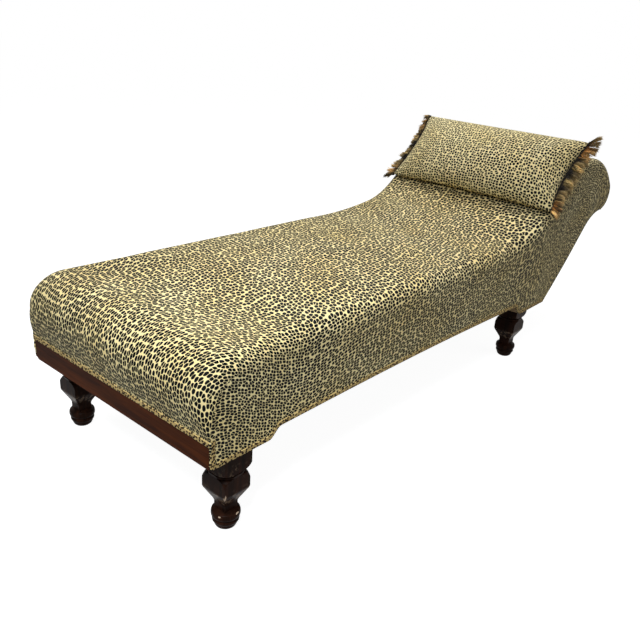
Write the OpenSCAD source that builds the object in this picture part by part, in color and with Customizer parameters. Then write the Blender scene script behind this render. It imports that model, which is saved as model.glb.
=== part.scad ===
// Chaise longue with one scrolled head end, turned legs and a loose fringed pillow.
// +X runs from the foot to the head, +Z is up and the floor is z = 0.
// Facing the head, the left side is +Y and the right side is -Y.

/* [Frame] */
// Width over the covered sides
frame_w = 660; // [600:5:720]
// Height of the polished foot rail's underside above the floor
foot_rail_z = 200; // [190:1:210]
// Height of the polished foot rail
foot_rail_h = 52; // [46:1:58]
// Radius of the foot rail's left lower corner
foot_rail_r = 14; // [6:1:20]
// Radius of the foot rail's right lower corner
foot_rail_ease = 3; // [1:0.5:6]
// Radius of the side covers' lower front corners
side_corner_r = 8; // [4:1:12]
// Thickness of the frame's boards
board_t = 24; // [20:1:28]
// Height of the side rails' top edge, which carries the seat
deck_z = 342; // [330:1:350]
// Height of the side rails' underside next to the foot legs' step
rail_foot_z = 223; // [214:1:230]
// Height of the side rails' underside next to the head legs' step
rail_head_z = 213; // [205:1:225]
// Rise of the side rails' underside in the middle
rail_arch = 7; // [0:1:12]
// Height of the side rails' underside at the head legs
heel_z = 178; // [170:1:190]

/* [Legs] */
// Distance from the foot rail's face to the foot legs' axis
leg_foot_x = 84.5; // [78:0.5:95]
// Distance between the foot legs' and the head legs' axes
leg_span = 1283; // [1150:1:1400]
// Distance from the covered side to the legs' axis
leg_side = 48; // [44:1:60]
// Width of the legs' square block
leg_w = 75; // [66:1:80]
// Width of the square bulb below the block
bulb_w = 71; // [62:1:76]
// Height of the block's rounded lower end above the floor
block_z = 148; // [142:1:156]
// Width of the square neck
neck_w = 35; // [28:1:42]
// Radius of the upper ring below the neck
ring_r = 32; // [26:0.5:34]
// Radius of the flat foot
foot_r = 15; // [12:1:24]
// Radius of the pin that holds a leg in its corner block
tenon_r = 12.5; // [8:0.5:16]
// Length of that pin
tenon_l = 42; // [25:1:48]

/* [Upholstery] */
// Thickness of the cover with its wadding
cover_t = 3; // [2:0.5:4]
// Clearance between soft pieces
soft_gap = 0.3; // [0.2:0.1:0.5]
// Height of the seat's surface at its edges
seat_z = 421; // [405:1:440]
// Crown of the seat across its width
seat_crown = 7; // [3:1:12]
// Crown of the foot end across its width
foot_crown = 4; // [0:1:8]
// Radius of the rounded edge above the foot
foot_round = 78; // [60:1:90]
// Bulge of the foot end beyond the foot rail
foot_bulge = 16; // [8:1:22]
// Radius of the rounded edges along the sides
side_round = 36; // [28:1:38]
// Thickness of the head's stuffing below the cover's outer face
head_pad_t = 40; // [39:1:44]
// Thickness of hessian and webbing
web_t = 1.5; // [1:0.5:3]
// Width of the braid
gimp_w = 12; // [8:1:16]
// Thickness of the braid
gimp_t = 2.5; // [1:0.5:4]

/* [Head] */
// Distance from the start of the rise to the head legs' axis
rise_back = 312; // [280:1:340]
// Radius of the first, gentle rise
rise_r = 1480; // [1300:10:1700]
// Slope at the end of the gentle rise
rise_a = 9.5; // [8:0.5:11]
// Radius of the tighter sweep into the head
sweep_r = 363; // [330:1:400]
// Slope of the head
head_a = 36; // [34:0.5:38]
// Length of the head's straight slope
slope_l = 148; // [130:1:170]
// Radius over the top of the head
top_r = 289; // [270:1:310]
// Downward slope where the top meets the nose
top_a = 46; // [42:1:50]
// Radius of the nose
nose_r = 62; // [58:1:70]
// Radius of the rounded ends of the head
head_end_r = 28; // [16:1:34]
// Radius of the hollow below the nose
hollow_r = 189; // [160:1:220]
// Distance from the head legs' axis to the heel
heel_l = 132; // [126:1:140]
// Slope of the outside back
back_a = 41.3; // [40:0.1:42.6]
// Bulge of the outside back
back_bulge = 5; // [0:1:8]

/* [Pillow] */
// Width of the pillow between its fringes
pillow_w = 636; // [540:2:640]
// Height of the pillow from seam to seam
pillow_h = 292; // [270:1:310]
// Fullness of the front above the seam
pillow_front_t = 74; // [50:1:85]
// Fullness of the back below the seam
pillow_back_t = 60; // [45:1:70]
// Angle at which the pillow leans
pillow_a = 46; // [40:1:48]
// Distance from the pillow's lower seam to the start of the head's straight slope
pillow_x = 13; // [0:1:20]
// Gap between the head and the pillow's lower seam, measured upwards
pillow_rest = 8; // [6:1:24]
// Turn of the pillow about the upright axis
pillow_turn = 1.5; // [0:0.5:3]
// Tilt of the pillow towards its right end
pillow_tilt = 1; // [0:0.25:1.5]
// How far the ends' seams draw in between the corners
pillow_draw = 14; // [6:1:22]
// Thickness of the pillow's cover
pillow_skin = 2; // [1.5:0.5:3]
// Length of the fringe's strands
fringe_l = 46; // [25:1:60]
// Distance that the strands' tips lean back at the pillow's upper seam
fringe_back = 26; // [0:1:40]
// Width of the fringe's woven heading
heading_w = 7; // [5:1:10]
// Thickness of the heading
heading_t = 6; // [4:0.5:8]
// Number of strands along one end
strands = 76; // [75:1:90]

/* [Hidden] */

half_w = frame_w / 2;
wood_y = half_w - cover_t;
inner_y = wood_y - board_t;
leg_y = half_w - leg_side;
leg_head_x = leg_foot_x + leg_span;
foot_top_z = foot_rail_z + foot_rail_h;
bore_clear = 0.1;

// Plane geometry

// Points of an arc after its start
function arc(c, r, a0, a1, n) = [for (k = [1 : n]) let (a = a0 + (a1 - a0) * k / n) c + r * [cos(a), sin(a)]];
// Points that cross from p to q as an S, without the first
function s_curve(p, q, n) = [for (k = [1 : n]) [p[0] + (q[0] - p[0]) * k / n,
                                               p[1] + (q[1] - p[1]) * (1 - cos(180 * k / n)) / 2]];
function unit(v) = v / norm(v);
function tangent(p, i) = unit(p[min(i + 1, len(p) - 1)] - p[max(i - 1, 0)]);
// Point i of a path, moved to the right of its travel
function moved(p, i, d) = let (t = tangent(p, i)) p[i] + d * [t[1], -t[0]];
function moved_run(p, i0, i1, d) = [for (i = [i0 : i1]) moved(p, i, d)];
function backwards(p) = [for (i = [len(p) - 1 : -1 : 0]) p[i]];
// Adds a shoulder radius and a crown to plain points, each running from a to b
function dressed(p, ra, rb, ca, cb) = [for (k = [0 : len(p) - 1]) let (t = (k + 1) / len(p))
    [p[k][0], p[k][1], ra + (rb - ra) * t, ca + (cb - ca) * t]];

// Side outline of the upholstery: [x, z, shoulder radius, crown] from the foot rail over the head to the heel

front_z = foot_top_z + gimp_w + 2;
round_z = seat_z - foot_round;
front_pts = [for (k = [1 : 4]) let (t = k / 4)
    [-foot_bulge * sin(90 * t), front_z + (round_z - front_z) * t, side_round * pow(t, 1.2), foot_crown * t]];
round_pts = [for (k = [1 : 6]) let (a = 180 - 15 * k)
    [-foot_bulge + (foot_round + foot_bulge) * (1 + cos(a)), round_z + foot_round * sin(a)]];
rise_x = leg_head_x - rise_back;
seat_pts = [for (k = [1 : 3]) [foot_round + (rise_x - foot_round) * k / 3, seat_z]];
rise_pts = arc([rise_x, seat_z + rise_r], rise_r, -90, -90 + rise_a, 4);
split = rise_pts[3];
sweep_c = split + sweep_r * [-sin(rise_a), cos(rise_a)];
sweep_pts = arc(sweep_c, sweep_r, -90 + rise_a, -90 + head_a, 5);
slope_0 = sweep_pts[4];
slope_1 = slope_0 + slope_l * [cos(head_a), sin(head_a)];
slope_pts = [(slope_0 + slope_1) / 2, slope_1];
top_c = slope_1 + top_r * [sin(head_a), -cos(head_a)];
top_pts = arc(top_c, top_r, 90 + head_a, 90 - top_a, 8);
nose_c = top_c + (top_r - nose_r) * [sin(top_a), cos(top_a)];

// The outside back is a straight line from the heel, joined to the nose by a hollow
heel = [leg_head_x + heel_l, heel_z];
back_d = [cos(back_a), sin(back_a)];
back_n = [sin(back_a), -cos(back_a)];
hollow_m = heel + hollow_r * back_n - nose_c;
hollow_b = hollow_m * back_d;
hollow_s = -hollow_b - sqrt(hollow_b * hollow_b - hollow_m * hollow_m + pow(nose_r + hollow_r, 2));
hollow_c = heel + hollow_s * back_d + hollow_r * back_n;
back_top = heel + hollow_s * back_d;
nose_out = unit(hollow_c - nose_c);
nose_end = atan2(nose_out[1], nose_out[0]);
nose_pts = arc(nose_c, nose_r, 90 - top_a, nose_end, 8);
hollow_pts = arc(hollow_c, hollow_r, nose_end + 180, 90 + back_a, 5);
back_pts = [for (k = [1 : 4]) back_top + (heel - back_top) * k / 4 + back_bulge * sin(45 * k) * back_n];

seam_r = cover_t + soft_gap;
top_crown = seat_crown * 0.4;
path = concat(
    [[0, foot_top_z, 0, 0], [0, front_z, 0, 0]],
    front_pts,
    dressed(round_pts, side_round, side_round, foot_crown, seat_crown),
    dressed(concat(seat_pts, rise_pts), side_round, side_round, seat_crown, seat_crown),
    dressed(concat(sweep_pts, slope_pts), side_round, head_end_r, seat_crown, top_crown),
    dressed(top_pts, head_end_r, head_end_r, top_crown, top_crown),
    dressed(nose_pts, head_end_r, seam_r, top_crown, 0),
    dressed(concat(hollow_pts, back_pts), 0, 0, 0, 0)
);
outline = [for (q = path) [q[0], q[1]]];
i_seam = 1 + 4 + 6 + 3 + 4;
i_nose = i_seam + 5 + 2 + 8 + 8;
i_heel = len(path) - 1;

// Stations across the width: five steps round each shoulder and four between
shoulder_steps = 5;
shoulder_y = [for (k = [0 : shoulder_steps]) half_w - side_round * (1 - cos(90 * k / shoulder_steps))];
stations = concat([for (k = [0 : shoulder_steps]) -shoulder_y[k]],
                  [-shoulder_y[shoulder_steps] / 2, 0, shoulder_y[shoulder_steps] / 2],
                  [for (k = [shoulder_steps : -1 : 0]) shoulder_y[k]]);

// Depth of a shoulder at distance y from the middle, on a form d inside the outer face
function shoulder_depth(r, y, d) = let (
    rr = max(r - d, 0.01),
    u = max(0, min(1, (abs(y) - (half_w - d - rr)) / rr))
) rr * (1 - sqrt(1 - u * u));
// Point i of the form d inside the outer face, at station y of the outer face
function form_pt(i, y, d) = let (
    yy = y * (half_w - d) / half_w,
    crown = path[i][3] * (1 - pow(y / half_w, 2)),
    p = moved(outline, i, d + shoulder_depth(path[i][2], yy, d) - crown)
) [p[0], yy, p[1]];

foot_end = min([for (i = [0 : i_heel]) form_pt(i, 0, 0)[0]]);
head_end = max([for (i = [0 : i_heel]) form_pt(i, 0, 0)[0]]);
centre_x = (foot_end + head_end) / 2;

// Underside of the sides, from the foot corner to the heel
step_foot_x = leg_foot_x + leg_w / 2 + 35;
step_l = 36;
step_head_x = split[0];
arch_0 = [step_foot_x + step_l, rail_foot_z];
arch_1 = [step_head_x - step_l * 0.7, rail_head_z];
arch_pts = [for (k = [1 : 8]) let (t = k / 8) arch_0 + (arch_1 - arch_0) * t + [0, rail_arch * sin(180 * t)]];
step_head_end = [step_head_x + step_l * 0.7, heel_z];
head_step = s_curve(arch_1, step_head_end, 4);
low_corner = arc([side_corner_r, foot_rail_z + side_corner_r], side_corner_r, 180, 270, 4);
low_run = concat([[step_foot_x, foot_rail_z]], s_curve([step_foot_x, foot_rail_z], arch_0, 4), arch_pts,
                 [head_step[0], head_step[1]]);
low_foot = concat([[0, foot_rail_z + side_corner_r]], low_corner, low_run);
low_head = [head_step[1], head_step[2], head_step[3]];
// Where a line d inside the outside back meets height z
function heel_at(z, d) = let (s = (z - heel[1] - d * back_d[0]) / back_d[1]) heel + s * back_d - d * back_n;
// The hollow's points 1 to 5, d inside it, with the last on the straight back
function hollow_in(k, d) = k == 5 ? back_top - d * back_n : moved(outline, i_nose + k, d);
cover_heel = heel_at(heel_z, seam_r);

// Solids

// Plate in the XZ plane from y0 to y1
module slab(pts, y0, y1) {
    translate([0, y1, 0])
        rotate([90, 0, 0])
            linear_extrude(y1 - y0)
                polygon(pts);
}

module place() {
    translate([-centre_x, 0, 0])
        children();
}

// The left side is the right side mirrored
module on_left(left) {
    mirror([0, left ? 1 : 0, 0])
        children();
}

function quads(a, b, c, d) = [[a, b, c], [a, c, d]];
function flat(l) = [for (a = l) each a];
// Faces of a grid of n by m points whose first point has index 0
function grid_faces(n, m) = flat([for (i = [0 : n - 2], j = [0 : m - 2]) let (a = i * m + j)
    quads(a, a + 1, a + m + 1, a + m)]);
// The same with diagonals that run towards the grid's middle, so that no corner is cut off
function corner_grid_faces(n, m) = flat([for (i = [0 : n - 2], j = [0 : m - 2]) let (a = i * m + j)
    (2 * i < n - 1) == (2 * j < m - 1) ? quads(a, a + 1, a + m + 1, a + m)
                                       : quads(a + 1, a + m + 1, a + m, a)]);

// Triangles that join two runs of indices, taking points in the order of their keys
function zipped(a, a_keys, b, b_keys, i = 0, j = 0) =
    i == len(a) - 1 && j == len(b) - 1 ? []
    : j == len(b) - 1 || (i < len(a) - 1 && a_keys[i + 1] <= b_keys[j + 1])
        ? concat([[a[i], a[i + 1], b[j]]], zipped(a, a_keys, b, b_keys, i + 1, j))
        : concat([[a[i], b[j + 1], b[j]]], zipped(a, a_keys, b, b_keys, i, j + 1));
function turned(faces) = [for (f = faces) backwards(f)];
function raised(faces, by) = [for (f = faces) [for (k = f) k + by]];

// Closed solid through rings of equal length, each in its own plane.
// A ring's first n_a points run one way, and the others run back beside them.
module ring_loft(rings, n_a, by_x = false) {
    n = len(rings[0]);
    m = len(rings) - 1;
    sides = flat([for (j = [0 : m - 1], i = [0 : n - 1]) let (k = (i + 1) % n)
        quads(j * n + i, (j + 1) * n + i, (j + 1) * n + k, j * n + k)]);
    a = [for (i = [0 : n_a - 1]) i];
    b = [for (i = [n - 1 : -1 : n_a]) i];
    function keys(run) = [for (q = [0 : len(run) - 1]) by_x ? rings[0][run[q]][0] : q / (len(run) - 1)];
    cap = zipped(a, keys(a), b, keys(b));
    polyhedron(flat(rings), concat(sides, cap, raised(turned(cap), m * n)));
}

// Cover from point i0 to i1 of the outline, with side panels down to low_pts
module cover_shell(i0, i1, low_pts) {
    n = i1 - i0 + 1;
    m = len(stations);
    k = len(low_pts);
    grid = n * m;
    outer = [for (i = [i0 : i1], y = stations) form_pt(i, y, 0)];
    inner = [for (i = [i0 : i1], y = stations) form_pt(i, y, cover_t)];
    lows = [for (y = [-half_w, half_w, -wood_y, wood_y], p = low_pts) [p[0], y, p[1]]];
    top = grid_faces(n, m);
    under = raised(turned(top), grid);
    // Upper and lower runs of a side panel on station j, on the outer (o = 0) or inner (o = 1) face
    function high_run(j, o) = [for (i = [0 : n - 1]) i * m + j + o * grid];
    function low_run_of(s, o) = [for (q = [0 : k - 1]) 2 * grid + (2 * o + s) * k + q];
    // The lower run turns its corner before the upper run sets out
    high_keys = [for (i = [i0 : i1]) form_pt(i, half_w, 0)[0] + 2 * side_corner_r];
    low_keys = [for (p = low_pts) p[0]];
    function panel(j, s, o) = zipped(high_run(j, o), high_keys, low_run_of(s, o), low_keys);
    // Rim of a side panel: its lower run with the edge up to the upper run at either end
    function rim_run(j, s, o) = concat([high_run(j, o)[0]], low_run_of(s, o), [high_run(j, o)[n - 1]]);
    function rim(j, s) = let (p = rim_run(j, s, 0), q = rim_run(j, s, 1))
        flat([for (i = [0 : k]) quads(p[i], p[i + 1], q[i + 1], q[i])]);
    low_seam = flat([for (j = [0 : m - 2]) quads(j, j + grid, j + 1 + grid, j + 1)]);
    b = (n - 1) * m;
    high_seam = flat([for (j = [0 : m - 2]) quads(b + j, b + j + 1, b + j + 1 + grid, b + j + grid)]);
    polyhedron(concat(outer, inner, lows),
               concat(top, under, panel(0, 0, 0), turned(panel(0, 0, 1)),
                      turned(panel(m - 1, 1, 0)), panel(m - 1, 1, 1),
                      rim(0, 0), turned(rim(m - 1, 1)), low_seam, high_seam));
}

// Frame

// Outline of the foot rail as seen from the foot, with y to the left
function rail_corner(y, r, a0) = concat([[y, foot_rail_z + r] + r * [cos(a0), sin(a0)]],
                                        arc([y, foot_rail_z + r], r, a0, a0 + 90, 5));
foot_rail_outline = concat(
    [[-wood_y, foot_top_z]],
    rail_corner(-wood_y + foot_rail_ease, foot_rail_ease, 180),
    rail_corner(wood_y - foot_rail_r, foot_rail_r, 270),
    [[wood_y, foot_top_z]]);

module foot_rail() {
    color([0.27, 0.14, 0.09])
        place()
            difference() {
                rotate([90, 0, 90])
                    linear_extrude(board_t)
                        polygon(foot_rail_outline);
                foot_dowels(bore_clear);
            }
}

// Softwood rail on top of the foot rail, which takes the cover's tacks.
// It ends one station short of the side rails, where the stuffing fills the round corners.
tack_y = shoulder_y[shoulder_steps - 1] * (half_w - seam_r) / half_w - soft_gap;
module tack_rail() {
    color([0.72, 0.58, 0.40])
        place()
            translate([seam_r, -tack_y, foot_top_z])
                cube([board_t - seam_r, 2 * tack_y, deck_z - foot_top_z]);
}

// Depth of the boards below the outside back's face
back_depth = seam_r + cover_t;
rail_outline = concat([[board_t, deck_z], [board_t, foot_rail_z]],
                      low_run,
                      [low_head[1], low_head[2]],
                      [heel_at(heel_z, back_depth), heel_at(deck_z, back_depth)]);

module side_rail(left) {
    color([0.72, 0.58, 0.40])
        place()
            on_left(left)
                difference() {
                    slab(rail_outline, -wood_y, -inner_y);
                    foot_dowels(bore_clear);
                    scroll_dowels(bore_clear);
                    block_screw_set(bore_clear);
                }
}

cross_rail_h = 92;
module head_cross_rail() {
    color([0.72, 0.58, 0.40])
        place()
            translate([split[0], -inner_y, deck_z - cross_rail_h])
                cube([board_t, 2 * inner_y, cross_rail_h]);
}
heel_rail_h = 80;
heel_rail_x = heel_at(heel_z, back_depth)[0] - board_t;
module heel_rail() {
    color([0.72, 0.58, 0.40])
        place()
            translate([heel_rail_x, -inner_y, heel_z])
                cube([board_t, 2 * inner_y, heel_rail_h]);
}

// Depth of the scroll boards' top edge below the cover's outer face
board_depth = head_pad_t + 2 * web_t;
scroll_x = moved(outline, i_seam, board_depth)[0];
scroll_outline = concat(
    [[scroll_x, deck_z]],
    moved_run(outline, i_seam, i_nose, board_depth),
    [for (k = [1 : 5]) hollow_in(k, back_depth)],
    [heel_at(deck_z, back_depth)]);

module scroll_board(left) {
    color([0.72, 0.58, 0.40])
        place()
            on_left(left)
                difference() {
                    slab(scroll_outline, -wood_y, -inner_y);
                    scroll_dowels(bore_clear);
                }
}

module crest_rail() {
    color([0.72, 0.58, 0.40])
        place()
            translate([nose_c[0], inner_y, nose_c[1]])
                rotate([90, 0, 0])
                    cylinder(r = nose_r - board_depth, h = 2 * inner_y, $fn = 48);
}

stretcher_w = 60;
module back_stretcher() {
    color([0.72, 0.58, 0.40])
        place()
            translate([heel[0], 0, heel[1]])
                rotate([0, -back_a, 0])
                    translate([hollow_s * 0.62, -inner_y, back_depth])
                        cube([stretcher_w, 2 * inner_y, board_t]);
}

// Lining behind the outside back
lining_depth = back_depth - bore_clear;
module back_lining() {
    color([0.55, 0.45, 0.32])
        place()
            slab(concat([for (k = [1 : 5]) hollow_in(k, seam_r)],
                        [heel_at(heel_z, seam_r), heel_at(heel_z, lining_depth)],
                        [for (k = [5 : -1 : 1]) hollow_in(k, lining_depth)]), -wood_y, wood_y);
}

// Legs

neck_bottom_z = 48;
neck_top_z = 68;
bulb_z = 101;
bulb_top_z = 139;
collar_r = leg_w / 2 + 0.5;
cove_r = leg_w / 2 - 2.5;
block_round = 18;
corner_r = leg_w / 2 * sqrt(2) + 1;
// Half width of the square section by height
function square_half(top) = [
    [leg_w / 2, top], [leg_w / 2, block_z], [bulb_w / 2, bulb_top_z], [bulb_w / 2, bulb_z],
    [bulb_w / 2 - 1.5, bulb_z - 5], [neck_w / 2 + 1.5, neck_top_z], [neck_w / 2, neck_top_z - 5],
    [neck_w / 2, neck_bottom_z - 2]
];
function mirrored(p) = concat(p, [for (i = [len(p) - 1 : -1 : 0]) [-p[i][0], p[i][1]]]);
// Quarter of an ellipse from p to q that leaves p upright, or level
function quarter_up(p, q, n) = [for (k = [1 : n]) let (a = 90 * k / n)
    [p[0] + (q[0] - p[0]) * (1 - cos(a)), p[1] + (q[1] - p[1]) * sin(a)]];
function quarter_level(p, q, n) = [for (k = [1 : n]) let (a = 90 * k / n)
    [p[0] + (q[0] - p[0]) * sin(a), p[1] + (q[1] - p[1]) * (1 - cos(a))]];

// Turned outlines: a shoulder, collar and cove above the neck, and two rings on a round foot below it
function upper_turning(top) = concat(
    [[0, neck_bottom_z - 2], [corner_r, neck_bottom_z - 2], [corner_r, bulb_z]],
    quarter_up([corner_r, bulb_z], [cove_r, bulb_top_z], 6),
    [[collar_r, bulb_top_z + 1], [collar_r, bulb_top_z + 5], [cove_r, bulb_top_z + 7], [cove_r, block_z]],
    quarter_level([cove_r, block_z], [corner_r, block_z + block_round], 5),
    [[corner_r, top], [0, top]]);
bun = [ring_r - 6.5, 14];
low_ring = [ring_r - 2.5, 21];
groove = [ring_r - 4.5, 26];
high_ring = [ring_r, 35];
ring_top = [ring_r - 2.5, 44];
lower_turning = concat(
    [[0, 0], [foot_r, 0]],
    quarter_level([foot_r, 0], bun, 4),
    quarter_level(bun, low_ring, 3),
    [[groove[0], groove[1] - 1], [groove[0], groove[1] + 1]],
    quarter_level([groove[0], groove[1] + 1], high_ring, 4),
    quarter_up(high_ring, ring_top, 3),
    [[neck_w / 2 + 2, neck_bottom_z], [0, neck_bottom_z]]);

module leg(x, y, top) {
    color([0.16, 0.09, 0.07])
        place()
            translate([x, y, 0]) {
                intersection() {
                    slab(mirrored(square_half(top)), -leg_w, leg_w);
                    rotate([0, 0, 90])
                        slab(mirrored(square_half(top)), -leg_w, leg_w);
                    rotate_extrude($fn = 96)
                        polygon(upper_turning(top));
                }
                rotate_extrude($fn = 96)
                    polygon(lower_turning);
                translate([0, 0, top - 1])
                    cylinder(r = tenon_r, h = tenon_l + 1, $fn = 48);
            }
}

// Corner blocks, which take the legs' pins

block_y = leg_y - leg_w / 2 - 4;
foot_block_x = leg_foot_x + leg_w / 2 + 4;
head_block_x = leg_head_x + leg_w / 2 + 4;

module block(x0, x1, z0, leg_x, z1) {
    color([0.72, 0.58, 0.40])
        difference() {
            translate([x0, -inner_y, z0])
                cube([x1 - x0, inner_y - block_y, z1 - z0]);
            translate([leg_x, -leg_y, z0 - 1])
                cylinder(r = tenon_r + bore_clear, h = tenon_l + 2, $fn = 48);
            block_screw_set(bore_clear);
        }
}
block_h = tenon_l + 8;

module foot_block(left) {
    place()
        on_left(left)
            block(board_t, foot_block_x, foot_rail_z, leg_foot_x, foot_rail_z + block_h);
}

module head_block(left) {
    place()
        on_left(left)
            block(split[0] + board_t, head_block_x, heel_z, leg_head_x, heel_z + block_h);
}

// Screws from the blocks' inner faces into the right side rail
screw_r = 2.5;
screw_head_r = 4.5;
screw_bite = 16;
screw_at = [
    [leg_foot_x - tenon_r - 12, foot_rail_z + block_h / 2],
    [leg_foot_x + tenon_r + 12, foot_rail_z + block_h / 2],
    [leg_head_x - tenon_r - 10, heel_z + block_h / 2],
    [leg_head_x + tenon_r + 10, heel_z + block_h / 2]
];
module block_screw_set(clear) {
    for (p = screw_at)
        translate([p[0], -block_y, p[1]])
            rotate([90, 0, 0]) {
                cylinder(r = screw_r + clear, h = inner_y - block_y + screw_bite + clear, $fn = 24);
                translate([0, 0, -clear])
                    cylinder(r1 = screw_head_r + clear, r2 = screw_r + clear, h = 3 + clear, $fn = 24);
            }
}

module block_screws() {
    color([0.60, 0.58, 0.52])
        place()
            for (left = [false, true])
                on_left(left)
                    block_screw_set(0);
}

// Dowels that join the foot rail and the scroll boards to the side rails
dowel_r = 5;
dowel_bite = 18;
module foot_dowels(clear) {
    for (s = [-1, 1], z = [foot_rail_z + 15, foot_top_z - 13])
        translate([board_t - dowel_bite - clear, s * (wood_y - board_t / 2), z])
            rotate([0, 90, 0])
                cylinder(r = dowel_r + clear, h = 2 * (dowel_bite + clear), $fn = 24);
}

scroll_dowel_at = [for (t = [0.15, 0.5, 0.85]) scroll_x + (heel_at(deck_z, back_depth)[0] - scroll_x) * t];
module scroll_dowels(clear) {
    for (s = [-1, 1], x = scroll_dowel_at)
        translate([x, s * (wood_y - board_t / 2), deck_z - dowel_bite - clear])
            cylinder(r = dowel_r + clear, h = 2 * (dowel_bite + clear), $fn = 24);
}

module frame_dowels() {
    color([0.80, 0.68, 0.50])
        place() {
            foot_dowels(0);
            scroll_dowels(0);
        }
}

// Seat suspension

cleat_w = 20;
cleat_z = 232;
web_w = 50;
web_z = cleat_z + cleat_w;

module cleat(left) {
    color([0.72, 0.58, 0.40])
        place()
            on_left(left)
                translate([foot_block_x, -inner_y, cleat_z])
                    cube([split[0] - foot_block_x, cleat_w, cleat_w]);
}

// Space between the outer webs and the corner blocks, across and along
web_end = 12;
web_side = 8;
// n even places from a to b, for pieces w wide
function spread(a, b, w, n) = [for (k = [0 : n - 1]) a + (b - a - w) * k / (n - 1)];

cross_webs = 11;
module seat_webbing_cross() {
    color([0.62, 0.52, 0.36])
        place()
            for (x = spread(foot_block_x + web_end, split[0] - web_end, web_w, cross_webs))
                translate([x, -inner_y, web_z])
                    cube([web_w, 2 * inner_y, web_t]);
}

long_webs = 5;
module seat_webbing_long() {
    color([0.62, 0.52, 0.36])
        place()
            for (y = spread(web_side - block_y, block_y - web_side, web_w, long_webs))
                translate([board_t, y, web_z + web_t])
                    cube([split[0] - board_t, web_w, web_t]);
}

// Each spring is an open sleeve on the waisted outline of its coil
spring_r = 42;
spring_waist = 30;
spring_wall = 1;
spring_rows = 4;
spring_cols = 8;
spring_z = web_z + 2 * web_t;
module spring() {
    h = deck_z - spring_z;
    rotate_extrude($fn = 48)
        polygon([[spring_r - spring_wall, 0], [spring_r, 0], [spring_waist, h / 2], [spring_r, h],
                 [spring_r - spring_wall, h], [spring_waist - spring_wall, h / 2]]);
}

module seat_springs() {
    color([0.45, 0.45, 0.47])
        place()
            for (x = spread(foot_block_x, split[0] - web_end, 2 * spring_r, spring_cols),
                 y = spread(web_side - block_y, block_y - web_side, 2 * spring_r, spring_rows))
                translate([x + spring_r, y + spring_r, spring_z])
                    spring();
}

module seat_hessian() {
    color([0.66, 0.54, 0.36])
        place()
            translate([0, 0, deck_z])
                linear_extrude(web_t)
                    for (s = [-1, 1])
                        polygon([[seam_r, 0], [seam_r, s * tack_y], [board_t, s * tack_y],
                                 [board_t, s * (wood_y - soft_gap)],
                                 [split[0], s * (wood_y - soft_gap)], [split[0], 0]]);
}

// Cloth under the seat, cut out round the foot legs' corner blocks
module dust_cover() {
    notch = [foot_block_x + soft_gap - board_t + 1, inner_y - block_y + soft_gap + 1];
    color([0.10, 0.10, 0.11])
        place()
            translate([0, 0, cleat_z - web_t])
                linear_extrude(web_t)
                    difference() {
                        translate([board_t, -inner_y])
                            square([heel_rail_x - board_t, 2 * inner_y]);
                        for (y = [-inner_y - 1, block_y - soft_gap])
                            translate([board_t - 1, y])
                                square(notch);
                    }
}

// Stuffing and its cloths

// The seat's stuffing reaches down in front of the tack rail, and down to the side rails' ends beside it
pad_in = seam_r;
module seat_pad() {
    lip = outline[3][1];
    floor_z = deck_z + web_t;
    color([0.86, 0.80, 0.66])
        place()
            ring_loft([for (y = stations) let (
                yy = y * (half_w - pad_in) / half_w,
                x = (abs(yy) > tack_y + 2 * soft_gap ? board_t : seam_r) - soft_gap
            ) concat([for (i = [3 : i_seam]) form_pt(i, y, pad_in)],
                     [[split[0], yy, floor_z], [rise_x, yy, floor_z], [x, yy, floor_z], [x, yy, lip]])],
                      i_seam - 2, true);
}

module head_pad() {
    low = moved_run(outline, i_seam, i_nose, head_pad_t);
    color([0.86, 0.80, 0.66])
        place()
            ring_loft([for (y = stations) let (yy = y * (half_w - pad_in) / half_w)
                concat([for (i = [i_seam : i_nose]) form_pt(i, y, pad_in)],
                       [for (k = [len(low) - 1 : -1 : 0]) [low[k][0], yy, low[k][1]]])], len(low));
}

// Band between two depths below the outline
function band(i0, i1, d0, d1) = concat(moved_run(outline, i0, i1, d0),
                                       backwards(moved_run(outline, i0, i1, d1)));

module head_hessian() {
    color([0.66, 0.54, 0.36])
        place()
            slab(band(i_seam, i_nose, head_pad_t, head_pad_t + web_t), -wood_y + soft_gap, wood_y - soft_gap);
}

module head_webbing() {
    color([0.62, 0.52, 0.36])
        place()
            for (i = [i_seam + 1 : 2 : i_nose - 10])
                slab(band(i, i + 1, head_pad_t + web_t, board_depth), -wood_y + soft_gap, wood_y - soft_gap);
}

// Covers and braid

module seat_cover() {
    color([0.78, 0.66, 0.42])
        place()
            cover_shell(0, i_seam, low_foot);
}

module head_cover() {
    color([0.78, 0.66, 0.42])
        place()
            cover_shell(i_seam, i_nose, concat(
                low_head, [cover_heel],
                [for (i = [i_heel - 1 : -1 : i_nose + 1]) moved(outline, i, seam_r)]));
}

back_edge_r = 2;
module outside_back_cover() {
    color([0.78, 0.66, 0.42])
        place()
            ring_loft([for (y = stations) let (
                outer = [for (i = [i_nose : i_heel]) moved(outline, i, shoulder_depth(back_edge_r, y, 0))],
                inner = [for (i = [i_heel : -1 : i_nose]) moved(outline, i, cover_t)]
            ) [for (p = concat(outer, inner)) [p[0], y, p[1]]]], i_heel - i_nose + 1);
}

low_edge = concat(low_foot, [low_head[1], low_head[2], cover_heel]);
// The braid's inner edge turns the corner on a small radius
gimp_turn_r = 3;
gimp_turn = [gimp_w + gimp_turn_r, foot_rail_z + gimp_w + gimp_turn_r];
module gimp_side(left) {
    color([0.72, 0.58, 0.30])
        place()
            on_left(left)
                slab(concat(low_edge,
                            backwards(moved_run(low_edge, len(low_corner) + 1, len(low_edge) - 1, -gimp_w)),
                            backwards(arc(gimp_turn, gimp_turn_r, 180, 270, 4)),
                            [[gimp_w, front_z], [0, front_z]]),
                     -half_w - gimp_t, -half_w);
}

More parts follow.
